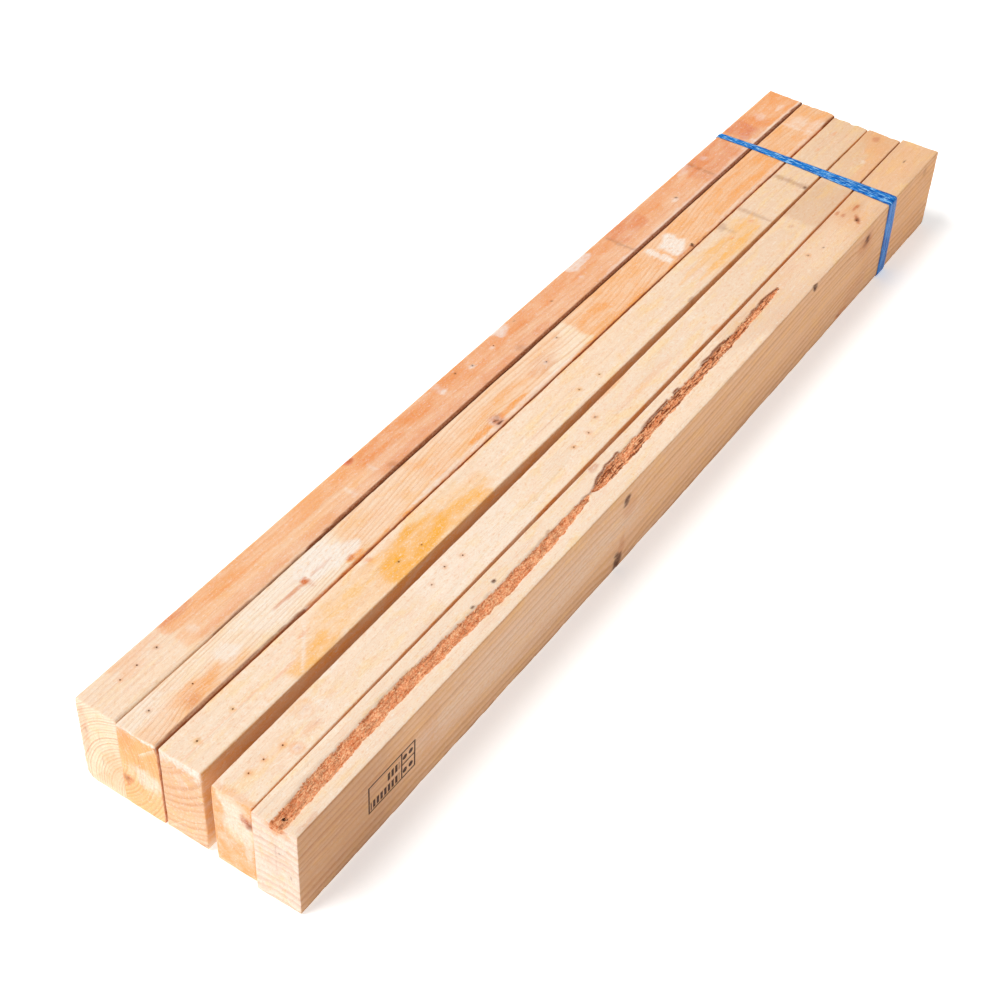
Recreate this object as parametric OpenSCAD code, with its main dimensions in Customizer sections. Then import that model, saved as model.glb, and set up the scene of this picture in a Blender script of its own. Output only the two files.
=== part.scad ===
// Bundle of five sawn pine studs that stand on edge, side by side, held by one plastic strap.
//
// +X runs along the studs, from the end where they fan apart to the strapped end.
// +Y runs across the bundle, from the fifth stud to the first, and +Z is up.
// The origin is at the centre of the bundle's box, on the floor. All sizes are in millimetres.
// Studs are counted from the +Y side. In each list, entry i belongs to stud i + 1.

/* [Studs] */
// Length of a stud
stud_l = 1020; // [900:10:2400]
// Thickness of a stud, the way it lies across the bundle
stud_w = 38; // [32:0.5:50]
// Depth of a stud, the way it stands
stud_d = 86; // [60:1:120]
// How much thicker than stud_w each stud was sawn
thicker = [0.5, 0, 0.5, -2.5, 1]; // [-3:0.5:3]
// How much deeper than stud_d each stud was sawn
deeper = [0, -2, -1, -5, 0]; // [-6:1:0]
// How far each stud is set back at the fanned end
set_back = [4, 3, 4, 1, 0]; // [0:1:8]
// How far each stud sticks out at the strapped end
stick_out = [1, 0, -4, -4, 0]; // [-6:1:4]
// Radius of the long edges
edge_r = 1.5; // [0.5:0.5:3]
// Flat of bark edge that is missing at the lower outer corner of the first stud
wane = 8; // [4:1:14]

/* [Lie of the bundle] */
// Gap between the third and fourth studs at the fanned end
fan_gap = 10.5; // [2:0.5:20]
// Sideways bow of the fifth stud at the middle of its length
bow = 2.5; // [1:0.5:6]

/* [Nail holes] */
// Diameter of an old nail hole
nail_dia = 3; // [2:0.5:5]
// Depth of an old nail hole
nail_deep = 14; // [6:1:30]

/* [Bark pocket] */
// Depth of the pocket of bark along the fifth stud
pocket_deep = 4; // [2:0.5:6]
// Width of the pocket at the end of the stud
pocket_w = 15; // [10:1:20]
// Length of the pocket
pocket_l = 725; // [400:5:800]
// Middle of the pocket at the end of the stud, from the stud's outer face
pocket_in = 17; // [14:1:20]
// Middle of the pocket's point, from the stud's outer face
pocket_tip_in = 28; // [16:1:30]

/* [Strap] */
// Thickness of the strap
strap_t = 0.8; // [0.5:0.1:1.5]
// Full width of the strap, over the fifth stud
strap_w = 19; // [12:1:32]
// Width of the strap where it bunches up, over the first stud
strap_bunched_w = 8; // [5:1:12]
// Middle of the strap on top of the fifth stud, from the strapped end of the bundle
strap_inset = 108; // [60:1:200]
// How much nearer to the strapped end the strap lies at the foot of the fifth stud
strap_slant = 5; // [0:1:8]
// Clearance between the strap and the wood
strap_fit = 0.15; // [0.05:0.05:0.4]

/* [Hidden] */

fanned = 3;         // how many studs, from the first, swing away from the others
over = 1;           // how far a cutting shape runs past the face that it cuts
pocket_steps = 14;  // straight lengths along each side of the pocket

wood = ["#d9955c", "#e3b27c", "#ecd0a4", "#efd9b2", "#f0dcb8"];
plastic = "#1b7fd6";

// Old nail holes in the top of each stud: how far along it from the fanned end,
// then how far across it from its -Y face, as a share of its thickness.
nails = [
    [[35, 0.62], [52, 0.62], [73, 0.63], [451, 0.83], [468, 0.68], [501, 0.71]],
    [[26, 0.71], [62, 0.5], [510, 0.45], [543, 0.74], [735, 0.13]],
    [[25, 0.55], [61, 0.52], [244, 0.35], [269, 0.27], [496, 0.35], [523, 0.28]],
    [[24, 0.59], [39, 0.57], [56, 0.49], [239, 0.65], [260, 0.74], [278, 0.62],
     [432, 0.55], [454, 0.54], [474, 0.71]],
    [[9, 0.45], [784, 0.68], [862, 0.38]]
];

function thick(i) = stud_w + thicker[i];
function deep(i) = stud_d + deeper[i];
function sum_thick(first, last) = first > last ? 0 : thick(first) + sum_thick(first + 1, last);

// The fourth stud's outer face and the fifth stud's inner face meet on the plane Y = 0
// before the bundle is centred, and the fanned studs turn on the fourth stud's far inner edge.
fan = asin(fan_gap / stud_l);
hinge_y = thick(3);
function fanned_face(i) = sum_thick(i + 1, fanned - 1);

// The bow is drawn as two straight halves, which meet at the middle at a very flat angle.
kink = atan(bow / (stud_l / 2));
function bowed_outer(x) = -thick(4) / cos(kink) - bow * (1 - abs(2 * x / stud_l - 1));

// The bundle stands on its strap, and the tops of all the studs are flush.
foot = strap_t + strap_fit;
top = foot + stud_d;

// The box of the whole bundle, from which the origin is set.
function fanned_near(i) = stud_l - (stud_l - set_back[i]) * cos(fan) + fanned_face(i) * sin(fan);
function fanned_far(i) = stud_l + stick_out[i] * cos(fan) + (fanned_face(i) + thick(i)) * sin(fan);
low_x = min(concat([for (i = [0:fanned - 1]) fanned_near(i)],
                   [set_back[3], set_back[4] - thick(4) * sin(kink)]));
high_x = max(concat([for (i = [0:fanned - 1]) fanned_far(i)],
                    [stud_l + stick_out[3], stud_l + stick_out[4] + thick(4) * sin(kink)]));
low_y = bowed_outer(stud_l / 2);
high_y = hinge_y + (stud_l - set_back[0]) * sin(fan) + sum_thick(0, fanned - 1) * cos(fan);

// The strap's inner faces, and its middle and width at its two sides.
strap_x = stud_l - strap_inset;
strap_in_low = bowed_outer(strap_x) - strap_fit;
strap_in_high = hinge_y + (stud_l - strap_x + strap_w / 2) * sin(fan)
                + sum_thick(0, fanned - 1) / cos(fan) + strap_fit;
strap_in_top = top + strap_fit;

// A rectangle with round corners.
module round_box(size, r) {
    translate([r, 0]) square([size[0] - 2 * r, size[1]]);
    translate([0, r]) square([size[0], size[1] - 2 * r]);
    for (x = [r, size[0] - r], y = [r, size[1] - r])
        translate([x, y]) circle(r = r, $fn = 32);
}

// A stud's section. Its lower +Y corner may be cut off by a flat of the given size.
module stud_section(i, cut = 0) {
    w = thick(i);
    difference() {
        round_box([w, deep(i)], edge_r);
        if (cut > 0)
            polygon([[w - cut, -over], [w + over, -over], [w + over, cut], [w, cut], [w - cut, 0]]);
    }
}

// A straight stud that runs along X, with its -Y face on Y = 0 and its top at the bundle's top.
module straight_stud(i, cut = 0) {
    difference() {
        translate([set_back[i], 0, top - deep(i)])
            rotate([90, 0, 90])
                linear_extrude(stud_l + stick_out[i] - set_back[i])
                    stud_section(i, cut);
        for (hole = nails[i]) nail_hole(hole[0], hole[1] * thick(i));
    }
}

module nail_hole(x, y) {
    translate([x, y, top - nail_deep])
        cylinder(d = nail_dia, h = nail_deep + over, $fn = 24);
}

// One of the first three studs, swung out by the fan angle.
module fanned_stud(i) {
    color(wood[i])
        translate([stud_l, hinge_y, 0])
            rotate([0, 0, -fan])
                translate([-stud_l, fanned_face(i), 0])
                    straight_stud(i, i == 0 ? wane : 0);
}

module fourth_stud() {
    color(wood[3]) straight_stud(3);
}

// The bowed outer stud, with the pocket of bark along its top.
module bowed_stud() {
    color(wood[4])
        difference() {
            union() {
                bowed_half(set_back[4]);
                translate([stud_l, 0, 0]) mirror([1, 0, 0]) bowed_half(-stick_out[4]);
            }
            for (hole = nails[4])
                nail_hole(hole[0], bowed_outer(hole[0]) + hole[1] * thick(4));
            translate([0, 0, top - pocket_deep])
                linear_extrude(pocket_deep + over) pocket_outline();
        }
}

// Half of the bowed stud: from its end, at the given X, to the middle of the bundle.
module bowed_half(end_x) {
    difference() {
        translate([end_x, 0, top - deep(4)])
            rotate([0, 0, -kink]) translate([0, -thick(4), 0]) rotate([90, 0, 90])
                linear_extrude(stud_l) stud_section(4);
        translate([stud_l / 2, -stud_l / 2, 0]) cube([stud_l, stud_l, 2 * top]);
    }
}

// The pocket narrows to a point in a slow curve, and slants across the stud as it goes.
function pocket_mid(s) = bowed_outer(pocket_l * s) + pocket_in + (pocket_tip_in - pocket_in) * s;
function pocket_half(s) = pocket_w / 2 * sqrt(1 - s);
module pocket_outline() {
    upper = [for (k = [0:pocket_steps]) let (s = k / pocket_steps)
             [pocket_l * s, pocket_mid(s) + pocket_half(s)]];
    lower = [for (k = [pocket_steps - 1:-1:0]) let (s = k / pocket_steps)
             [pocket_l * s, pocket_mid(s) - pocket_half(s)]];
    past_end = [for (side = [-1, 1]) [-2 * over, pocket_mid(0) + side * pocket_half(0)]];
    polygon(concat(upper, lower, past_end));
}

// The strap's hoop, cut to its own width on each side of the bundle.
module strap() {
    inner = [strap_in_high - strap_in_low, strap_in_top - strap_t];
    color(plastic)
        intersection() {
            translate([0, strap_in_low, strap_t])
                rotate([90, 0, 90])
                    linear_extrude(stud_l) hoop(inner);
            strap_reach();
        }
}

module hoop(inner) {
    difference() {
        translate([-strap_t, -strap_t]) round_box(inner + 2 * [strap_t, strap_t], edge_r + strap_t);
        round_box(inner, edge_r);
    }
}

// Everything that lies between the strap's two edges, one slab for each side of the bundle.
module strap_reach() {
    corner = edge_r + 2 * strap_t;
    y0 = strap_in_low - corner;
    y1 = strap_in_high + corner;
    wide = strap_w / 2;
    slim = strap_bunched_w / 2;
    foot_x = strap_x + strap_slant;
    top_plan = [[strap_x - wide, y0], [strap_x + wide, y0], [strap_x + slim, y1], [strap_x - slim, y1]];
    foot_plan = [[foot_x - wide, y0], [foot_x + wide, y0], [strap_x + slim, y1], [strap_x - slim, y1]];
    translate([0, 0, top - corner]) linear_extrude(3 * corner) polygon(top_plan);
    translate([0, 0, -corner]) linear_extrude(3 * corner) polygon(foot_plan);
    // the run down the fifth stud, and the run down the first
    translate([0, y0 + 2 * corner, 0]) rotate([90, 0, 0]) linear_extrude(2 * corner)
        polygon([[foot_x - wide, -corner], [foot_x + wide, -corner],
                 [strap_x + wide, top + corner], [strap_x - wide, top + corner]]);
    translate([strap_x - slim, y1 - 2 * corner, -corner]) cube([2 * slim, 2 * corner, top + 2 * corner]);
}

translate([-(low_x + high_x) / 2, -(low_y + high_y) / 2, 0]) {
    fanned_stud(0);  // stud_1
    fanned_stud(1);  // stud_2
    fanned_stud(2);  // stud_3
    fourth_stud();  // stud_4
    bowed_stud();  // stud_5
    strap();
}
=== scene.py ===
# %% [markdown]
# # A bundle of five pine studs
# Five rough pine studs stand on edge, side by side, and one blue plastic strap holds them
# near the far end. They have been used before: nails have left holes, and old stains have
# sunk in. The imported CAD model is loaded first. It gives every size and place, so each
# timber below is carved out of the box that its CAD node already fills.

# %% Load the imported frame
import math
from itertools import product
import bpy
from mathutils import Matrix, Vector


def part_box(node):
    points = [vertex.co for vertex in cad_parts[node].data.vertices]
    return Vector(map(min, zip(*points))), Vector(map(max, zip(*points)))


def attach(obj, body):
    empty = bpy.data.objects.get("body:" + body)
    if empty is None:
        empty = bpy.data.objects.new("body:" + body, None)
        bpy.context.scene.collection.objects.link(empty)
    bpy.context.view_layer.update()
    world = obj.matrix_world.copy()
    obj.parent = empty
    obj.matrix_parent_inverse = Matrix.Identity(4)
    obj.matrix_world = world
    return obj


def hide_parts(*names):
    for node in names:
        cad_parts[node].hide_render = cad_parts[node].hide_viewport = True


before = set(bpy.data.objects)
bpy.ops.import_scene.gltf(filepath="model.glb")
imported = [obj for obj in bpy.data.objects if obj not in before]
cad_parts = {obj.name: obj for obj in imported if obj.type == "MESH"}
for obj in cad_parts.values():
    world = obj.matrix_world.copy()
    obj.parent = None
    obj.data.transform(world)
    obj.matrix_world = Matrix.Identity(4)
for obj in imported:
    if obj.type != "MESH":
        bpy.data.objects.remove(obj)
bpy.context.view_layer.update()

from types import SimpleNamespace as Facts

import bpy
import numpy as np
from mathutils import Matrix, Vector

MM = 0.001

# %% [markdown]
# ## How each stud lies
# Three of the studs are fanned by about half a degree, so their boxes in the frame are a
# little too wide. The real width shows when a stud is turned straight: of many small
# turns, the right one makes it narrowest. After that each stud has its own coordinates in
# millimetres: u along it from the near end, v across it from its right face, w up from its
# underside. All the carving and staining below is written in u, v and w.

# %% Own coordinates of a stud
STUDS = ("stud_1", "stud_2", "stud_3", "stud_4", "stud_5")


def vertices(mesh):
    """The points of a mesh, in millimetres."""
    flat = np.empty(len(mesh.vertices) * 3, np.float32)
    mesh.vertices.foreach_get("co", flat)
    return flat.reshape(-1, 3).astype(float) / MM


def turned(points, turn):
    """Points turned about the vertical."""
    c, s = math.cos(turn), math.sin(turn)
    return points @ np.array(((c, s, 0), (-s, c, 0), (0, 0, 1)))


def lie_of(node):
    """Turn, lowest corner, size and bow of a stud, from its CAD node."""
    points = vertices(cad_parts[node].data)
    turns = np.radians(np.linspace(-1, 1, 1001))
    across = points[:, 1:2] * np.cos(turns) - points[:, :1] * np.sin(turns)
    turn = float(turns[np.argmin(np.ptp(across, axis=0))])
    straight = turned(points, -turn)
    low, size = straight.min(0), np.ptp(straight, axis=0)
    at_end = straight[straight[:, 0] < low[0] + 30]
    bow = at_end[:, 1].min() - low[1]
    bow = bow if bow > 1 else 0.0
    size[1] -= bow
    return Facts(turn=turn, low=low, length=size[0], width=size[1], depth=size[2], bow=bow)


def bowed_by(u, lie):
    """How far a bowed stud's right face lies in from its middle, softened at the middle."""
    share = 2 * u / lie.length - 1
    soft = 0.15
    return lie.bow * (np.sqrt(share**2 + soft**2) - soft) / (math.sqrt(1 + soft**2) - soft)


def to_row(own, lie):
    """From a stud's own millimetres to the frame's."""
    points = own + lie.low
    points[:, 1] += bowed_by(own[:, 0], lie)
    return turned(points, lie.turn)


def to_own(points, lie):
    """From the frame's millimetres to a stud's own."""
    own = turned(points, -lie.turn) - lie.low
    own[:, 1] -= bowed_by(own[:, 0], lie)
    return own


lies = {node: lie_of(node) for node in STUDS}
for node, lie in lies.items():
    print(f"{node}: {lie.length:.0f} x {lie.width:.1f} x {lie.depth:.1f} mm, "
          f"turned {math.degrees(lie.turn):.2f} degrees, bow {lie.bow:.1f} mm")

# %% [markdown]
# ## Random values that stay the same
# Wood is irregular, yet the same script has to give the same timber each time. This noise
# takes its values from whole numbers only: a cell's corner numbers and a seed are mixed
# into one value, and points between the corners get a smooth blend.

# %% Smooth noise
def noise(points, size, seed):
    """Smooth values from -1 to 1, one for each point, that change over `size` millimetres."""
    scaled = np.asarray(points, float) / size + 31.7
    low = np.floor(scaled).astype(np.int64)
    part = scaled - low
    part = part * part * (3 - 2 * part)
    total = np.zeros(len(scaled))
    for corner in product((0, 1), repeat=scaled.shape[1]):
        mixed = np.full(len(scaled), seed * 7919 + 11, np.int64)
        for axis, step in enumerate(corner):
            mixed = ((mixed ^ (low[:, axis] + step)) * 668265261 + 374761393) & 0xFFFFFFFF
            mixed ^= mixed >> 15
        weight = np.prod(np.where(corner, part, 1 - part), axis=1)
        total += weight * (mixed / 2.0**31 - 1)
    return total


def ease(value, low, high):
    """0 below low, 1 above high and a smooth step between."""
    t = np.clip((value - low) / (high - low), 0, 1)
    return t * t * (3 - 2 * t)


# %% [markdown]
# ## The bark pocket
# The right stud was sawn so near the outside of the tree that a strip of bark and resin
# is left in its top face. The strip starts at the near end, closes to nothing for a few
# millimetres, opens again and runs out in a point. A short list of places along the stud,
# each with the strip's two edges, is all that such a wandering shape needs.

# %% Course of the bark pocket in the top of the right stud
POCKET = (  # along the stud, right edge and left edge, in mm
    (0, 10.5, 24), (50, 11.5, 27), (105, 13.5, 28), (145, 14.3, 29), (210, 12.7, 26),
    (265, 10.2, 24), (345, 13.2, 24), (385, 17, 23.3), (393, 20.6, 21.6), (401, 18, 23.4),
    (415, 15.5, 27), (430, 15, 29.2), (500, 17.8, 29.4), (590, 18.6, 29.6), (620, 19.8, 29),
    (685, 22.4, 29), (706, 23, 28.6), (724, 26, 26.2),
)


def pocket_share(own):
    """0 at the pocket's edges and beyond, rising to 1 on its middle line."""
    u, right, left = np.array(POCKET, float).T
    ragged = 0.9 * noise(own[:, :2], (7, 40), 41) + 0.5 * noise(own[:, :2], (2.5, 40), 42)
    low = np.interp(own[:, 0], u, right) + ragged
    high = np.interp(own[:, 0], u, left) + 0.8 * noise(own[:, :2] + 90, (6, 40), 43)
    half = np.maximum((high - low) / 2, 0.01)
    share = 1 - np.abs(own[:, 1] - (low + high) / 2) / half
    share[(own[:, 0] > u[-1]) | (high - low < 0.3)] = 0
    return np.clip(share, 0, 1) * ease(half, 0.2, 1.2)


# %% [markdown]
# ## Carving a stud
# A box with straight edges would read as plastic. A sawn stud has edges that were knocked
# round, rims that broke out at the saw cut, faces that wave a little and ends that are
# rough. So each stud is a mesh of closed rings: one ring of points round the section is
# repeated along the length, and each point is then pushed inwards by the sum of all that
# has happened to it. Inwards only, so the stud never leaves its CAD box.

# %% Rings and stations
def section(width, depth, steps, corner=1.5):
    """A closed ring of points: underside, left face, top and right face, as steps are given."""
    centres = ((corner, corner), (width - corner, corner),
               (width - corner, depth - corner), (corner, depth - corner))
    ring = []
    for k in range(4):
        angles = np.radians(180 + 90 * k + np.array((0, 22.5, 45, 67.5, 90)))
        arc = np.array(centres[k]) + corner * np.column_stack((np.cos(angles), np.sin(angles)))
        reach = np.array(centres[(k + 1) % 4]) + arc[-1] - np.array(centres[k]) - arc[-1]
        count = max(1, round(float(np.hypot(*reach)) / steps[k]))
        run = arc[-1] + reach * (np.arange(1, count) / count)[:, None]
        ring += [*arc, *run]
    return np.array(ring)


def outward(ring):
    """The outward direction at each point of a ring."""
    tangent = np.roll(ring, -1, 0) - np.roll(ring, 1, 0)
    tangent /= np.linalg.norm(tangent, axis=1)[:, None]
    return np.column_stack((tangent[:, 1], -tangent[:, 0]))


FINE_STEP = 1.25  # mm between rings of points beside the bark pocket


def stations(length, step, fine_until):
    """Places along a stud, close together at both ends and wherever the shape is fine."""
    start = np.array((0, 0.4, 0.9, 1.6, 2.6, 4))
    fine = np.arange(start[-1] + FINE_STEP, fine_until, FINE_STEP)
    begin, stop = max(start[-1], fine_until), length - start[-1]
    plain = np.linspace(begin, stop, max(2, round((stop - begin) / step)))[1:-1]
    return np.concatenate((start, fine, plain, length - start[::-1]))


# %% What wear takes off
END_FADE = 9  # mm over which the roughness of an end dies out along the faces


def end_cut(own, lie, look, far):
    """How far the sawn end lies in at each point: saw marks, torn fibres, broken top rim."""
    across = own[:, 1:]
    seed = look.seed + (50 if far else 0)
    rough = look.far_rough if far else look.near_rough
    cut = 0.10 + rough * (0.5 + 0.5 * noise(across, 9, seed))
    cut += 0.35 * rough * (0.5 + 0.5 * noise(across, 2.6, seed + 1))
    below_top = lie.depth - own[:, 2]
    torn = ease(noise(across, (5, 30), seed + 2), -0.2, 0.8) * look.torn_top
    return cut + torn * np.exp(-((below_top / 3.2) ** 2))


def edge_loss(own, lie, look):
    """How much has been knocked off the four long edges, by place along them."""
    loss = np.zeros(len(own))
    edges = ((0, 0), (lie.width, 0), (lie.width, lie.depth), (0, lie.depth))
    for k, ((v, w), worn) in enumerate(zip(edges, look.worn_edges)):
        away = np.hypot(own[:, 1] - v, own[:, 2] - w)
        line = own[:, :1] + 977 * k
        amount = 0.3 + 0.7 * ease(noise(line, 34, look.seed + 5), -0.4, 0.9)
        amount += 0.5 * ease(noise(line, 6, look.seed + 6), 0.35, 0.9)
        loss += worn * amount * np.exp(-((away / (1.6 + 0.9 * worn)) ** 2))
    return loss


def inward_push(own, lie, look):
    """Millimetres that each point of the faces moves in."""
    push = 0.10 + 0.10 * (1 + noise(own, (70, 12, 12), look.seed + 3))
    push += 0.05 * (1 + noise(own, (7, 26, 26), look.seed + 4))
    push += edge_loss(own, lie, look)
    from_end = np.minimum(own[:, 0], lie.length - own[:, 0])
    rim = look.rim * (0.9 + 0.6 * noise(own, (40, 5, 5), look.seed + 7))
    inside = np.clip(rim - from_end, 0, None)
    push += rim - np.sqrt(np.clip(rim**2 - inside**2, 0, None))
    if look.wane:
        to_corner = (lie.width - own[:, 1]) + own[:, 2]
        edge = look.wane + 1.2 * noise(own[:, :1], 45, look.seed + 8)
        push += np.clip(edge - to_corner, 0, None) / 1.41
    for u, v, w, radius, deep in look.dents:
        away = np.linalg.norm((own - (u, v, w)) / (radius * 1.5, radius, radius), axis=1)
        push += deep * (1 - ease(away, 0.3, 1))
    return push


def pocket_depth(own, lie):
    """The bark pocket's floor below the top face, lumpy as bark is."""
    share = pocket_share(own)
    lumps = 1.0 * noise(own, 5.5, 44) + 0.8 * noise(own, 2.4, 45)
    floor = 1.7 * ease(share, 0, 0.45) + np.clip(lumps, -0.9, 1.4) * ease(share, 0.05, 0.5)
    return np.where(own[:, 2] > lie.depth - 3, np.clip(floor, 0, 3.6), 0)


# %% One carved stud
CAP_SHARES = (0.03, 0.06, 0.1, 0.15, 0.21, 0.28, 0.35, 0.42,
              0.5, 0.58, 0.66, 0.75, 0.84, 0.92, 0.997)


def cap_rings(rim, lie):
    """Smaller and smaller rings that close an end, until only the middle line is left."""
    half = np.array((lie.width, lie.depth)) / 2
    insets = [share * half.min() for share in CAP_SHARES]
    return [half + (rim[:, 1:] - half) * (half - inset) / half for inset in insets]


def carve(node, look):
    """The stud as one closed mesh, in the frame, in metres."""
    lie = lies[node]
    ring = section(lie.width, lie.depth, look.steps)
    along = stations(lie.length, look.along, look.fine_until)
    count = len(ring)
    own = np.column_stack((np.repeat(along, count), np.tile(ring, (len(along), 1))))
    out = np.tile(outward(ring), (len(along), 1))
    push = inward_push(own, lie, look)
    if look.pocket:
        push += pocket_depth(own, lie)
    own[:, 1:] -= out * push[:, None]

    parts = [own]
    for rim, u in ((own[-count:], lie.length), (own[:count], 0.0)):
        for flat in cap_rings(rim, lie):
            parts.append(np.column_stack((np.full(count, u), flat)))
    own = np.vstack(parts)
    for far, start in ((True, lie.length), (False, 0.0)):
        from_end = np.abs(own[:, 0] - start)
        near = from_end < END_FADE
        shift = end_cut(own[near], lie, look, far) * (1 - from_end[near] / END_FADE)
        own[near, 0] += -shift if far else shift

    tube = np.arange(len(along) * count).reshape(-1, count)
    caps = tube.size + np.arange(2 * len(CAP_SHARES) * count).reshape(2, -1, count)
    far_rings = np.vstack((tube[-1:], caps[0]))
    near_rings = np.vstack((tube[:1], caps[1]))[::-1]
    faces = []
    for rings in (tube, far_rings, near_rings):
        low, high = rings[:-1], rings[1:]
        quads = np.stack((low, np.roll(low, -1, 1), np.roll(high, -1, 1), high), -1)
        faces += quads.reshape(-1, 4).tolist()
    faces += [far_rings[-1].tolist(), near_rings[0][::-1].tolist()]
    mesh = bpy.data.meshes.new("pine_" + node)
    mesh.from_pydata((to_row(own, lie) * MM).tolist(), [], faces)
    mesh.validate()
    return mesh


def volume_of(mesh):
    """The volume inside a closed mesh, in litres; it is below zero if faces point inwards."""
    mesh.calc_loop_triangles()
    corners = np.empty(len(mesh.loop_triangles) * 3, np.int32)
    mesh.loop_triangles.foreach_get("vertices", corners)
    a, b, c = np.moveaxis(vertices(mesh)[corners.reshape(-1, 3)], 1, 0)
    return float((a * np.cross(b, c)).sum() / 6e6)


# %% [markdown]
# ## Five different sticks
# No two studs were treated alike, so each has its own facts: how fine its rings of points
# are, how rough its ends, how worn its four long edges. The left stud has a wane, the flat
# where the round of the log began, along its lower left edge. Faces that only touch a
# neighbour need few points.

# %% Facts of the five studs
def stick(seed, **changes):
    """The facts of an ordinary stud, with what is different about this one."""
    facts = dict(seed=seed, steps=(5, 6, 1.2, 6), along=2.3, fine_until=0, near_rough=0.35,
                 far_rough=0.6, torn_top=0.5, rim=0.8, wane=0, pocket=False, dents=(),
                 worn_edges=(0.6, 0.6, 0.5, 0.5))
    return Facts(**{**facts, **changes})


sticks = {
    "stud_1": stick(1, steps=(4, 3, 1.2, 6), wane=8, worn_edges=(0.6, 0.8, 0.15, 0.9)),
    "stud_2": stick(2, torn_top=1.2, far_rough=1.0, worn_edges=(0.6, 0.6, 0.5, 0.9),
                    dents=((422, 7.8, 84, 3.4, 1.8), (733, 3.3, 84, 2, 0.8))),
    "stud_3": stick(3, steps=(5, 6, 1.2, 3), torn_top=2.2, rim=1.1,
                    worn_edges=(0.6, 0.6, 0.6, 0.2)),
    "stud_4": stick(4, torn_top=1.0, far_rough=1.1, worn_edges=(0.6, 0.5, 0.4, 0.1)),
    "stud_5": stick(5, steps=(5, 7, 0.85, 2.2), along=2.2, fine_until=726, pocket=True,
                    far_rough=0.8, rim=0.6, worn_edges=(0.7, 0.5, 0.1, 0.3),
                    dents=((747, 0, 86, 2.2, 1.6), (417, 0, 72, 3, 0.8), (411, 0, 8, 4, 1.2))),
}
bodies = {node: carve(node, look) for node, look in sticks.items()}
for node, mesh in bodies.items():
    print(f"{mesh.name}: {len(mesh.vertices)} points, {volume_of(mesh):.2f} litres")

# %% [markdown]
# ## Node trees from short calls
# Geometry and material trees are both built in code. One small helper adds a node, sets
# its numbers and links what feeds it, so that a tree reads like a recipe. A tree for
# shapes is run once on its object, and the result is kept as an ordinary mesh.

# %% Tree helpers
def feed(tree, socket, value):
    """A socket is linked in; anything else becomes the input's own value."""
    if isinstance(value, bpy.types.NodeSocket):
        tree.links.new(value, socket)
    else:
        socket.default_value = value


def add(tree, kind, inputs=None, **settings):
    """One node. Its inputs are given by name or by number."""
    node = tree.nodes.new(kind)
    for name, value in settings.items():
        setattr(node, name, value)
    for key, value in (inputs or {}).items():
        feed(tree, node.inputs[key], value)
    return node


SOCKETS = {float: "NodeSocketFloat", int: "NodeSocketInt"}


def shape_tree(name, inputs):
    """An empty geometry tree with a geometry input and the named inputs, and its two ends."""
    tree = bpy.data.node_groups.new(name, "GeometryNodeTree")
    tree.is_modifier = True
    tree.interface.new_socket("Geometry", in_out="INPUT", socket_type="NodeSocketGeometry")
    for label, value in inputs.items():
        kind = SOCKETS.get(type(value)) or "NodeSocket" + value
        socket = tree.interface.new_socket(label, in_out="INPUT", socket_type=kind)
        if type(value) in SOCKETS:
            socket.default_value = value
    tree.interface.new_socket("Geometry", in_out="OUTPUT", socket_type="NodeSocketGeometry")
    return tree, tree.nodes.new("NodeGroupInput").outputs, tree.nodes.new("NodeGroupOutput")


def finish_tree(tree, geometry, material, end):
    """Realizes instances and sets the material, which is how every tree here ends."""
    real = add(tree, "GeometryNodeRealizeInstances", {0: geometry})
    coated = add(tree, "GeometryNodeSetMaterial", {0: real.outputs[0], "Material": material})
    feed(tree, end.inputs[0], coated.outputs[0])


def place(mesh, name):
    """An object for a mesh, at the origin."""
    piece = bpy.data.objects.new(name, mesh)
    bpy.context.scene.collection.objects.link(piece)
    return piece


def keep_result(piece):
    """What a piece's modifiers make becomes its own plain mesh."""
    bpy.context.view_layer.update()
    depsgraph = bpy.context.evaluated_depsgraph_get()
    made = bpy.data.meshes.new_from_object(piece.evaluated_get(depsgraph))
    piece.modifiers.clear()
    piece.data = made


def run_tree(piece, tree, values):
    """Runs a tree on a piece and keeps the result."""
    modifier = piece.modifiers.new(tree.name, "NODES")
    modifier.node_group = tree
    for item in tree.interface.items_tree:
        if item.in_out == "INPUT" and item.name in values:
            modifier[item.identifier] = values[item.name]
    keep_result(piece)


# %% [markdown]
# ## Nail holes
# The CAD model already has a hole wherever a nail was pulled, so the places are read from
# it: a hole's flat bottom lies at one known depth below the top. A geometry tree puts a
# thin tapered peg on each place, tilted a little as nails are, and subtracts the pegs.
# Pushing mesh points down would give soft dimples; a cut gives the sharp dark hole.

# %% Where the nails were
NAIL_DEEP = 14


def nail_places(node):
    """The middle of each nail hole of a stud, in its own coordinates."""
    lie = lies[node]
    own = to_own(vertices(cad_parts[node].data), lie)
    inner = (np.abs(own[:, 1] / lie.width - 0.5) < 0.48) & (own[:, 0] > 5)
    low = lie.depth - own[:, 2]
    bottoms = own[inner & (low > NAIL_DEEP - 5) & (low < NAIL_DEEP + 5)]
    places = []
    for point in bottoms:
        if all(math.hypot(*(point - other)[:2]) > 5 for other in places):
            cluster = np.linalg.norm((bottoms - point)[:, :2], axis=1) < 5
            middle = (bottoms[cluster].min(0) + bottoms[cluster].max(0)) / 2
            places.append(np.array((middle[0], middle[1], lie.depth)))
    return places


nails = {node: nail_places(node) for node in STUDS}
print("nail holes:", {node: len(found) for node, found in nails.items()})

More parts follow.
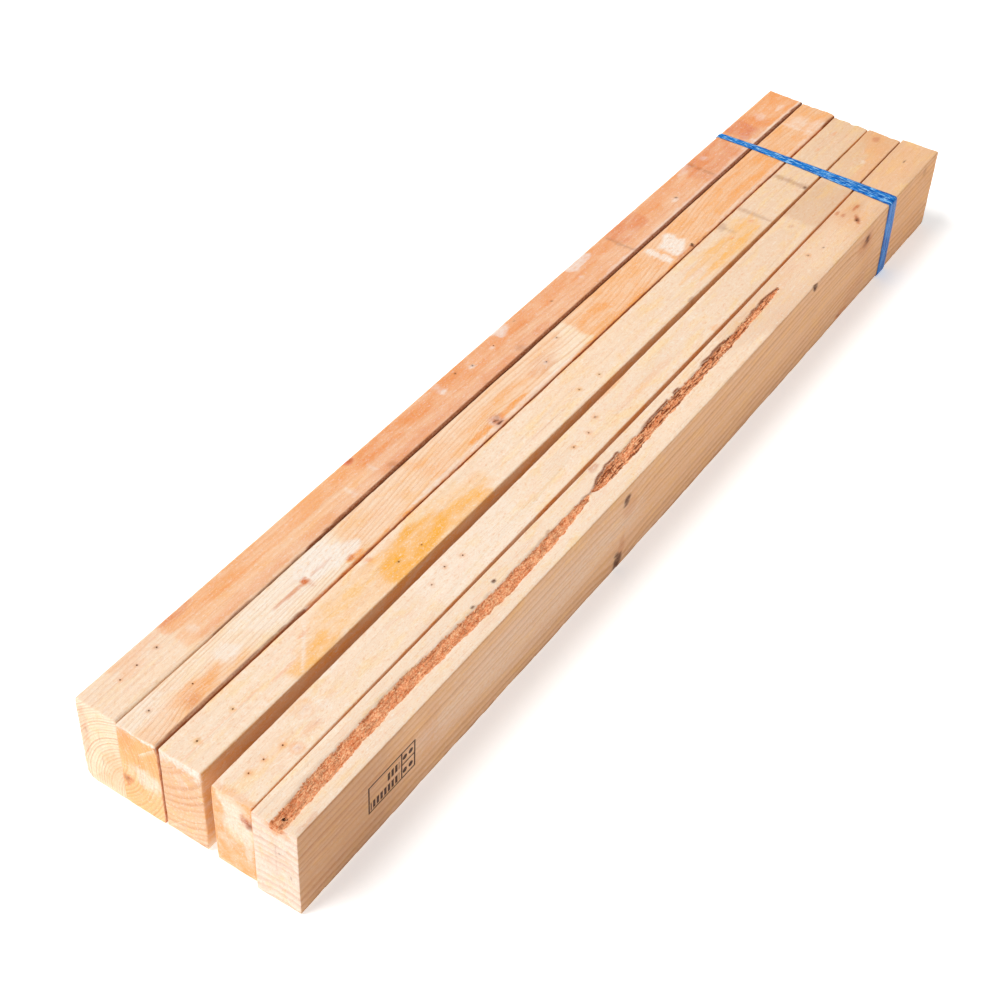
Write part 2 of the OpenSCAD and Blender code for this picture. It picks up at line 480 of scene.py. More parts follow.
# %% A tree that bores the holes
def boring_tree():
    """Subtracts a tapered peg at every point of the Places object."""
    tree, given, end = shape_tree("nail_boring", {
        "Places": "Object", "Radius": 1.0, "Depth": 1.0, "Tilt": 0.1, "Seed": 1,
        "Material": "Material"})
    points = add(tree, "GeometryNodeObjectInfo", {"Object": given["Places"]})
    peg = add(tree, "GeometryNodeMeshCone", {
        "Vertices": 12, "Radius Top": given["Radius"], "Radius Bottom": 0.0004,
        "Depth": given["Depth"]})
    sunk = add(tree, "GeometryNodeTransform", {0: peg.outputs[0], "Translation": (0, 0, -0.011)})
    other_way = add(tree, "ShaderNodeMath", {0: given["Tilt"], 1: -1.0}, operation="MULTIPLY")
    lean = {2: other_way.outputs[0], 3: given["Tilt"]}
    along = add(tree, "FunctionNodeRandomValue", {**lean, "Seed": given["Seed"]})
    across = add(tree, "FunctionNodeRandomValue", {**lean, "Seed": 77})
    tilt = add(tree, "ShaderNodeCombineXYZ", {0: along.outputs[1], 1: across.outputs[1]})
    pegs = add(tree, "GeometryNodeInstanceOnPoints", {
        "Points": points.outputs["Geometry"], "Instance": sunk.outputs[0],
        "Rotation": tilt.outputs[0]})
    solid = add(tree, "GeometryNodeRealizeInstances", {0: pegs.outputs[0]})
    cut = add(tree, "GeometryNodeMeshBoolean", {"Mesh 1": given["Geometry"],
                                                "Mesh 2": solid.outputs[0]},
              operation="DIFFERENCE", solver="MANIFOLD")
    finish_tree(tree, cut.outputs[0], given["Material"], end)
    return tree


boring = boring_tree()

# %% [markdown]
# ## The pine itself
# One recipe finishes all five studs, with colours of their own. Sapwood is pale cream and
# turns tan with age. Over it lie the growth rings, whose summer wood is darker, and the
# fibres, long fine streaks that turn into dots on the ends because the noise is stretched
# along the stud in space and not on a face. Stains soak in unevenly, so each painted layer
# is multiplied by noise before it tints the wood. Roughness and a shallow bump come from the
# same fibres and rings, so that colour and relief agree.

# %% Material helper
def colour(red, green, blue):
    """A screen colour as the linear colour that a shader mixes."""
    def linear(x):
        return x / 12.92 if x < 0.04045 else ((x + 0.055) / 1.055) ** 2.4
    return tuple(LIT * linear(c / 255) for c in (red, green, blue)) + (1.0,)


LIT = 0.92  # wood never sends back all the light


class Finish:
    """A material under construction. Most methods add a node and return its output."""

    def __init__(self, name, **shader):
        self.material = bpy.data.materials.new(name)
        self.material.use_nodes = True
        self.tree = self.material.node_tree
        self.shader = self.tree.nodes["Principled BSDF"]
        for key, value in shader.items():
            self.shader.inputs[key.replace("_", " ")].default_value = value

    def layer(self, name):
        return add(self.tree, "ShaderNodeAttribute", attribute_name=name).outputs["Fac"]

    def place(self, turn=0.0):
        spot = add(self.tree, "ShaderNodeTexCoord").outputs["Object"]
        return add(self.tree, "ShaderNodeMapping", {
            "Vector": spot, "Rotation": (0, 0, -turn), "Scale": (1 / MM,) * 3}).outputs[0]

    def noise(self, place, size, detail=2.0, rough=0.5, twist=0.0):
        near = add(self.tree, "ShaderNodeVectorMath", {0: place, 1: size}, operation="DIVIDE")
        return add(self.tree, "ShaderNodeTexNoise", {
            "Vector": near.outputs[0], "Scale": 1.0, "Detail": detail, "Roughness": rough,
            "Distortion": twist}).outputs[0]

    def maths(self, operation, a, b=0.0):
        return add(self.tree, "ShaderNodeMath", {0: a, 1: b}, operation=operation).outputs[0]

    def times(self, *factors):
        product = factors[0]
        for factor in factors[1:]:
            product = self.maths("MULTIPLY", product, factor)
        return product

    def parts(self, vector):
        return add(self.tree, "ShaderNodeSeparateXYZ", {0: vector}).outputs

    def ramp(self, value, low, high, to_low=0.0, to_high=1.0):
        return add(self.tree, "ShaderNodeMapRange", {
            0: value, 1: low, 2: high, 3: to_low, 4: to_high},
            interpolation_type="SMOOTHSTEP").outputs[0]

    def mix(self, share, a, b):
        return add(self.tree, "ShaderNodeMix", {0: share, 6: a, 7: b}, data_type="RGBA").outputs[2]

    def join(self, **sockets):
        """Feeds the shader's own sockets and returns the finished material."""
        for key, value in sockets.items():
            feed(self.tree, self.shader.inputs[key.replace("_", " ")], value)
        return self.material

    def bump(self, height, deep):
        return add(self.tree, "ShaderNodeBump", {
            "Strength": 1.0, "Distance": deep * MM, "Height": height}).outputs[0]


# %% Pine, as one recipe
WOOD = dict(sap=(252, 227, 199), tan=(232, 190, 150), end=(250, 219, 186),
            amber=(241, 166, 98), rust=(205, 118, 72), chalk=(252, 240, 228),
            summer=(214, 160, 112), shade=(230, 154, 84), yellow=(255, 214, 136),
            pink=(249, 194, 162), ring_share=0.22, end_rings=0.4, tan_rings=0.0, mottle=1.0)


def pine(name, turn, **changes):
    """Sawn pine: sapwood, rings and fibres under the painted stains."""
    tones = {**WOOD, **changes}
    f = Finish(name, Specular_IOR_Level=0.25)
    spot = f.place(turn)
    aside = add(f.tree, "ShaderNodeVectorMath", {0: spot, 1: (500, 300, 100)}).outputs[0]
    end = f.layer("endgrain")
    fibre = f.noise(spot, (42, 0.7, 0.7), detail=3, rough=0.65)
    streak = f.noise(spot, (110, 2.4, 2.4), detail=3, rough=0.6)
    cloud = f.noise(spot, (30, 9, 9), detail=5, rough=0.62, twist=0.4)
    blush = f.noise(aside, (22, 7, 7), detail=4, rough=0.6, twist=0.3)
    speck = f.noise(spot, (1.9, 1.1, 1.1), detail=3, rough=0.75)
    fleck = f.noise(aside, (4.6, 2.3, 2.3), detail=4, rough=0.7)
    m = tones["mottle"]

    def tint(wood, tone, pattern, low, high, share):
        """Mixes in a colour where a pattern is high, or where it is low if low > high."""
        return f.mix(f.ramp(pattern, low, high, 0, share), wood, colour(*tone))

    # The tan layer browns each stud along its length; on the right stud's outer face it is painted shade.
    tan = f.layer("tan")
    wood = f.mix(tan, colour(*tones["sap"]), colour(*tones["tan"]))
    wood = f.mix(end, wood, colour(*tones["end"]))
    wood = tint(wood, tones["yellow"], cloud, 0.47, 0.70, 0.42 * m)
    wood = tint(wood, tones["pink"], blush, 0.50, 0.72, 0.26 * m)

    rings = f.layer("rings")
    wobble = f.times(f.noise(spot, (26, 3, 3), detail=2), 0.35)
    phase = f.maths("FRACT", f.maths("ADD", rings, wobble))
    summer = f.times(f.ramp(phase, 0.25, 0.86), f.ramp(phase, 0.9, 0.99, 1, 0))
    season = add(f.tree, "ShaderNodeCombineXYZ", {0: f.times(rings, 0.7)}).outputs[0]
    dry_year = f.ramp(f.noise(season, (1, 1, 1), detail=1), 0.35, 0.65, 0.2, 2.0)
    share = f.times(end, tones["end_rings"] - tones["ring_share"])
    share = f.maths("ADD", share, tones["ring_share"])
    share = f.maths("ADD", share, f.times(tan, tones["tan_rings"]))
    ringed = f.times(summer, dry_year, share, f.ramp(fleck, 0.35, 0.6, 0.5, 1.2))
    wood = f.mix(ringed, wood, colour(*tones["summer"]))

    uneven = f.ramp(cloud, 0.3, 0.7, 0.6, 1.2)
    drawn = f.times(uneven, f.ramp(fleck, 0.3, 0.7, 0.75, 1.2))
    wood = f.mix(f.times(f.layer("amber"), drawn), wood, colour(*tones["amber"]))
    scuff = f.times(f.layer("chalk"), f.ramp(fleck, 0.3, 0.6, 0.6, 1.1))
    wood = f.mix(scuff, wood, colour(*tones["chalk"]))
    wood = f.mix(f.times(f.layer("rust"), drawn), wood, colour(*tones["rust"]))

    wood = tint(wood, tones["summer"], streak, 0.55, 0.8, 0.25 * m)
    wood = tint(wood, tones["summer"], fibre, 0.54, 0.76, 0.30 * m)
    fresh = f.ramp(tan, 0, 1, 1, 0.35)
    paler = f.times(f.ramp(fleck, 0.52, 0.68, 0, 0.42 * m), fresh)
    wood = f.mix(paler, wood, colour(255, 247, 236))
    wood = tint(wood, tones["shade"], fleck, 0.46, 0.30, 0.34 * m)
    paler = f.times(f.ramp(speck, 0.55, 0.70, 0, 0.42 * m), fresh)
    wood = f.mix(paler, wood, colour(255, 250, 240))
    wood = tint(wood, tones["shade"], speck, 0.44, 0.28, 0.42 * m)

    # Dirt, and also painted shade: the dark bands along the top edges beside the gaps between studs, and
    # the right stud's outer face near its near end.
    grime_and_shade = f.times(f.layer("dirt"), f.ramp(speck, 0.25, 0.7, 0.75, 1.1))
    wood = f.mix(grime_and_shade, wood, colour(142, 72, 28))
    knotty = f.times(f.layer("knot"), f.ramp(fleck, 0.3, 0.6, 1.15, 0.85))
    wood = f.mix(knotty, wood, colour(86, 40, 16))
    return f, wood, Facts(spot=spot, fibre=fibre, summer=summer, speck=speck)


def close_pine(f, wood, grain):
    """Nail holes over everything, then roughness and relief, and the finished material."""
    wood = f.mix(f.layer("hole"), wood, colour(50, 24, 8))
    height = f.maths("ADD", f.times(grain.fibre, 0.7), f.times(grain.summer, 0.22))
    height = f.maths("ADD", height, f.times(grain.speck, 0.55))
    rough = f.ramp(grain.fibre, 0.3, 0.7, 0.62, 0.82)
    return f.join(Base_Color=wood, Roughness=rough, Normal=f.bump(height, 0.5))


# %% [markdown]
# ## The ink stamp
# The right stud has a maker's mark stamped on its outer face. Here it is a plain one that
# says nothing: a box with a dividing line, two rows of bars on one side and four dots on
# the other. Each shape is a test on the two coordinates of the face, so the lines stay
# sharp however coarse the mesh is, and noise eats holes in the ink as wood fibres do.

# %% A generic ink stamp
STAMP = Facts(left=76.5, right=131.5, low=29.5, high=58.5, line=1.6,  # mm on the face
              upright=114.5, level=43.6, bar_pitch=4.3, bar_share=0.66, bars_end=112.5,
              rows=((79, 32.2, 40), (98, 44, 52)),  # left end, foot and head of each row
              dots=((119, 36.5), (119, 51), (126, 36.5), (126, 51)), dot_radius=2.55)
INK_REACH = 3.5  # mm inside the outer face that still count as that face


def box_test(f, u, w, left, right, low, high):
    """1 inside a box on the face, 0 outside it."""
    inside = [f.maths("GREATER_THAN", u, left), f.maths("LESS_THAN", u, right),
              f.maths("GREATER_THAN", w, low), f.maths("LESS_THAN", w, high)]
    return f.times(*inside)


def stamp_ink(f, spot, near_end, outer_face, foot):
    """How much ink lies at a point of the outer face."""
    axes = f.parts(spot)
    u = f.maths("SUBTRACT", axes[0], near_end)
    w = f.maths("SUBTRACT", axes[2], foot)
    s, t = STAMP, STAMP.line
    whole = box_test(f, u, w, s.left, s.right, s.low, s.high)
    hollow = box_test(f, u, w, s.left + t, s.right - t, s.low + t, s.high - t)
    shapes = [box_test(f, u, w, s.upright, s.upright + t, s.low, s.high),
              box_test(f, u, w, s.upright, s.right, s.level, s.level + t)]
    bars = f.maths("LESS_THAN", f.maths("FRACT", f.maths("DIVIDE", u, s.bar_pitch)), s.bar_share)
    for left, low, high in s.rows:
        shapes.append(f.times(bars, box_test(f, u, w, left, s.bars_end, low, high)))
    for dot in s.dots:
        offset = add(f.tree, "ShaderNodeCombineXYZ", {0: f.maths("SUBTRACT", u, dot[0]),
                                                      1: f.maths("SUBTRACT", w, dot[1])})
        away = add(f.tree, "ShaderNodeVectorMath", {0: offset.outputs[0]}, operation="LENGTH")
        shapes.append(f.maths("LESS_THAN", away.outputs["Value"], s.dot_radius))
    ink = f.maths("SUBTRACT", whole, hollow)
    for shape in shapes:
        ink = f.maths("MAXIMUM", ink, shape)
    worn = f.ramp(f.noise(spot, (2.2, 2.2, 1.1), detail=3), 0.30, 0.46, 0.7, 1.0)
    return f.times(ink, worn, f.maths("LESS_THAN", axes[1], outer_face))


# %% Bark
def bark_colour(f, spot):
    """Orange-brown bark: crumbly, with dark seams where it gapes and pale flecks of resin."""
    crumb = f.noise(spot, (2.0, 1.3, 1.3), detail=4, rough=0.75)
    patch = f.noise(spot, (24, 5, 5), detail=3, rough=0.6)
    seam = f.noise(spot, (15, 1.5, 1.5), detail=3, rough=0.6)
    bark = f.mix(f.ramp(crumb, 0.34, 0.62), colour(212, 110, 58), colour(252, 196, 148))
    bark = f.mix(f.ramp(patch, 0.48, 0.68, 0, 0.5), bark, colour(214, 112, 52))
    bark = f.mix(f.ramp(crumb, 0.62, 0.72, 0, 0.8), bark, colour(255, 230, 200))
    gaping = f.ramp(f.parts(spot)[0], -140, -90, 0.35, 0.95)
    return f.mix(f.times(f.ramp(seam, 0.50, 0.58), gaping), bark, colour(126, 58, 22))


# %% Five pines and the bark
TONES = {
    "stud_1": dict(sap=(253, 220, 186), end=(255, 232, 200), ring_share=0.16, end_rings=0.34,
                   amber=(247, 158, 84), summer=(216, 144, 98), rust=(222, 112, 66), mottle=0.75),
    "stud_2": dict(sap=(254, 231, 204), end=(252, 206, 150), ring_share=0.24, end_rings=0.42,
                   amber=(248, 162, 78), summer=(222, 148, 86), rust=(214, 112, 50), mottle=0.8),
    "stud_3": dict(sap=(253, 228, 202), end=(243, 200, 162), ring_share=0.06, end_rings=0.50,
                   amber=(253, 178, 58), summer=(216, 156, 110), rust=(240, 130, 52)),
    "stud_4": dict(sap=(254, 231, 207), end=(252, 222, 190), ring_share=0.08, end_rings=0.24,
                   amber=(247, 160, 82), tan=(230, 184, 140), rust=(196, 100, 58)),
    "stud_5": dict(sap=(254, 231, 206), end=(250, 226, 208), ring_share=0.08, end_rings=0.22,
                   tan=(238, 190, 146), tan_rings=0.36, summer=(192, 124, 74)),
}
finishes = {}
for node in STUDS[:4]:
    finishes[node] = close_pine(*pine(node + "_pine", lies[node].turn, **TONES[node]))


def pale_pine():
    """The right stud's pine, with its ink stamp and its bark pocket."""
    lie = lies["stud_5"]
    f, wood, grain = pine("stud_5_pine", lie.turn, **TONES["stud_5"])
    ink = stamp_ink(f, grain.spot, lie.low[0], lie.low[1] + INK_REACH, lie.low[2])
    wood = f.mix(f.times(ink, 0.97), wood, colour(60, 24, 8))
    frayed = f.maths("SUBTRACT", f.noise(grain.spot, (3, 1.2, 1.2), detail=3), 0.5)
    here = f.ramp(f.maths("ADD", f.layer("bark"), f.times(frayed, 0.4)), 0.12, 0.26)
    wood = f.mix(here, wood, bark_colour(f, grain.spot))
    return close_pine(f, wood, grain)


def loose_bark():
    """The loose crumbs' finish, in the colours of the bark under them."""
    f = Finish("bark", Specular_IOR_Level=0.2)
    spot = f.place()
    crumb = f.noise(spot, (1.6, 1.2, 1.2), detail=3)
    return f.join(Base_Color=bark_colour(f, spot), Roughness=f.ramp(crumb, 0.3, 0.7, 0.75, 0.95),
                  Normal=f.bump(crumb, 0.4))


finishes["stud_5"] = pale_pine()
finishes["bark"] = loose_bark()
print("finishes:", ", ".join(m.name for m in finishes.values()))

# %% Bore every stud
PEG = {"Radius": 0.00125, "Depth": 0.024, "Tilt": 0.12}  # m, m and radians


def bored(node):
    """The carved stud with its nail holes cut in, as an object."""
    spots = bpy.data.meshes.new("nail_spots")
    points = to_row(np.array(nails[node]), lies[node]) * MM
    spots.from_pydata(points.tolist(), [], [])
    marker = place(spots, "nail_spots")
    piece = place(bodies[node], "pine_" + node)
    before = len(piece.data.polygons)
    run_tree(piece, boring, {**PEG, "Places": marker, "Seed": sticks[node].seed,
                             "Material": finishes[node]})
    bpy.data.objects.remove(marker)
    print(f"{piece.name}: {before} faces, {len(piece.data.polygons)} once bored")
    return piece


pieces = {node: bored(node) for node in STUDS}

# %% [markdown]
# ## Stains, scuffs, knots and painted shade as marks on the mesh
# Old timber carries its history: amber and red stain, chalky scuffs, dirt, knots. Each of
# these is one layer, a number from 0 to 1 at every point of the mesh, which the material
# later turns into colour. Two layers also carry painted shade. The dirt layer darkens the
# long top edges where the gaps between the studs lie in shade, and the right stud's outer
# face near its near end. The tan layer browns the whole of that shaded outer face. A mark
# says where a patch lies on which face, how large it is and how strong; noise frays its
# outline so that no patch looks drawn. Layers keep the places exact, and the material adds
# the detail finer than the mesh.

# %% One mark on one face
LAYERS = ("tan", "amber", "rust", "chalk", "dirt", "knot")
BARK_REACH = 6  # mm below the top: no bark lies deeper
POCKET_FLOOR = 80  # mm above the underside: nothing of the pocket lies lower
SOAK = 7  # mm that a mark reaches into the wood behind its face
FACING = {"right": (0, -1, 0), "near": (-1, 0, 0)}  # which way these faces look


def face_frame(face, a, b, ra, rb, lie):
    """Centre and radii of a mark, from its two places and two radii on a face."""
    return {
        "top": ((a, b, lie.depth), (ra, rb, SOAK)),
        "right": ((a, 0, b), (ra, SOAK, rb)),
        "near": ((0, a, b), (SOAK, ra, rb)),
    }[face]


def mark(own, lie, seed, face, a, b, ra, rb, strength, soft=0.4, ragged=0.4, boxy=2, slant=0):
    """Strength of one mark at each point: 2 makes an ellipse, more makes it boxy."""
    centre, radii = face_frame(face, a, b, ra, rb, lie)
    place = own - centre
    if slant:
        place = turned(place, -math.radians(slant))
    share = np.abs(place / radii) + 1e-6
    away = (share**boxy).sum(1) ** (1 / boxy)
    slope = away ** (1 - boxy) * np.linalg.norm(share ** (boxy - 1) / radii, axis=1)
    beyond = (away - 1) / slope  # mm outside the mark's outline
    small = min(ra, rb)
    near = beyond < (soft + ragged) * small
    if ragged and near.any():
        size = (max(6, 1.6 * small), max(1.5, 0.5 * small), max(1.5, 0.5 * small))
        if face == "near":
            size = (50, size[1], size[2])
        beyond[near] += ragged * small * noise(own[near], size, seed)
    return strength * (1 - ease(beyond, -soft * small, soft * small))


def paint(mesh, layer, values):
    """Stores one layer on a mesh."""
    made = mesh.attributes.new(layer, "FLOAT", "POINT")
    made.data.foreach_set("value", np.asarray(values, np.float32))


# %% [markdown]
# ## Growth rings
# A ring is a surface round the pith, so one number does for every face: how many rings lie
# between the pith and a point. Cut across, it gives the arcs on the ends; cut along, it
# gives the lines and tall pointed figures on the faces. The pith wanders slowly along the
# log, and rings swell round a knot.

# %% Ring count
def ring_count(own, look):
    """How many growth rings lie between the pith and each point."""
    line = own[:, :1]
    v = own[:, 1] - look.pith[0] - look.wander * noise(line, 260, look.seed + 20)
    w = own[:, 2] - look.pith[1] - look.wander * noise(line, 330, look.seed + 21)
    slope = look.rise * (own[:, 0] / 1000 - 0.5)
    radius = np.hypot(v, w) + slope + 0.8 * noise(own, (110, 16, 16), look.seed + 22)
    for u, v, w, reach, swell in look.knots:
        away = np.linalg.norm((own - (u, v, w)) / (2.6 * reach, reach, reach), axis=1)
        radius = radius + swell * np.exp(-(away**2))
    return radius / look.ring_width + 0.45 * noise(radius[:, None], 11, look.seed + 23)
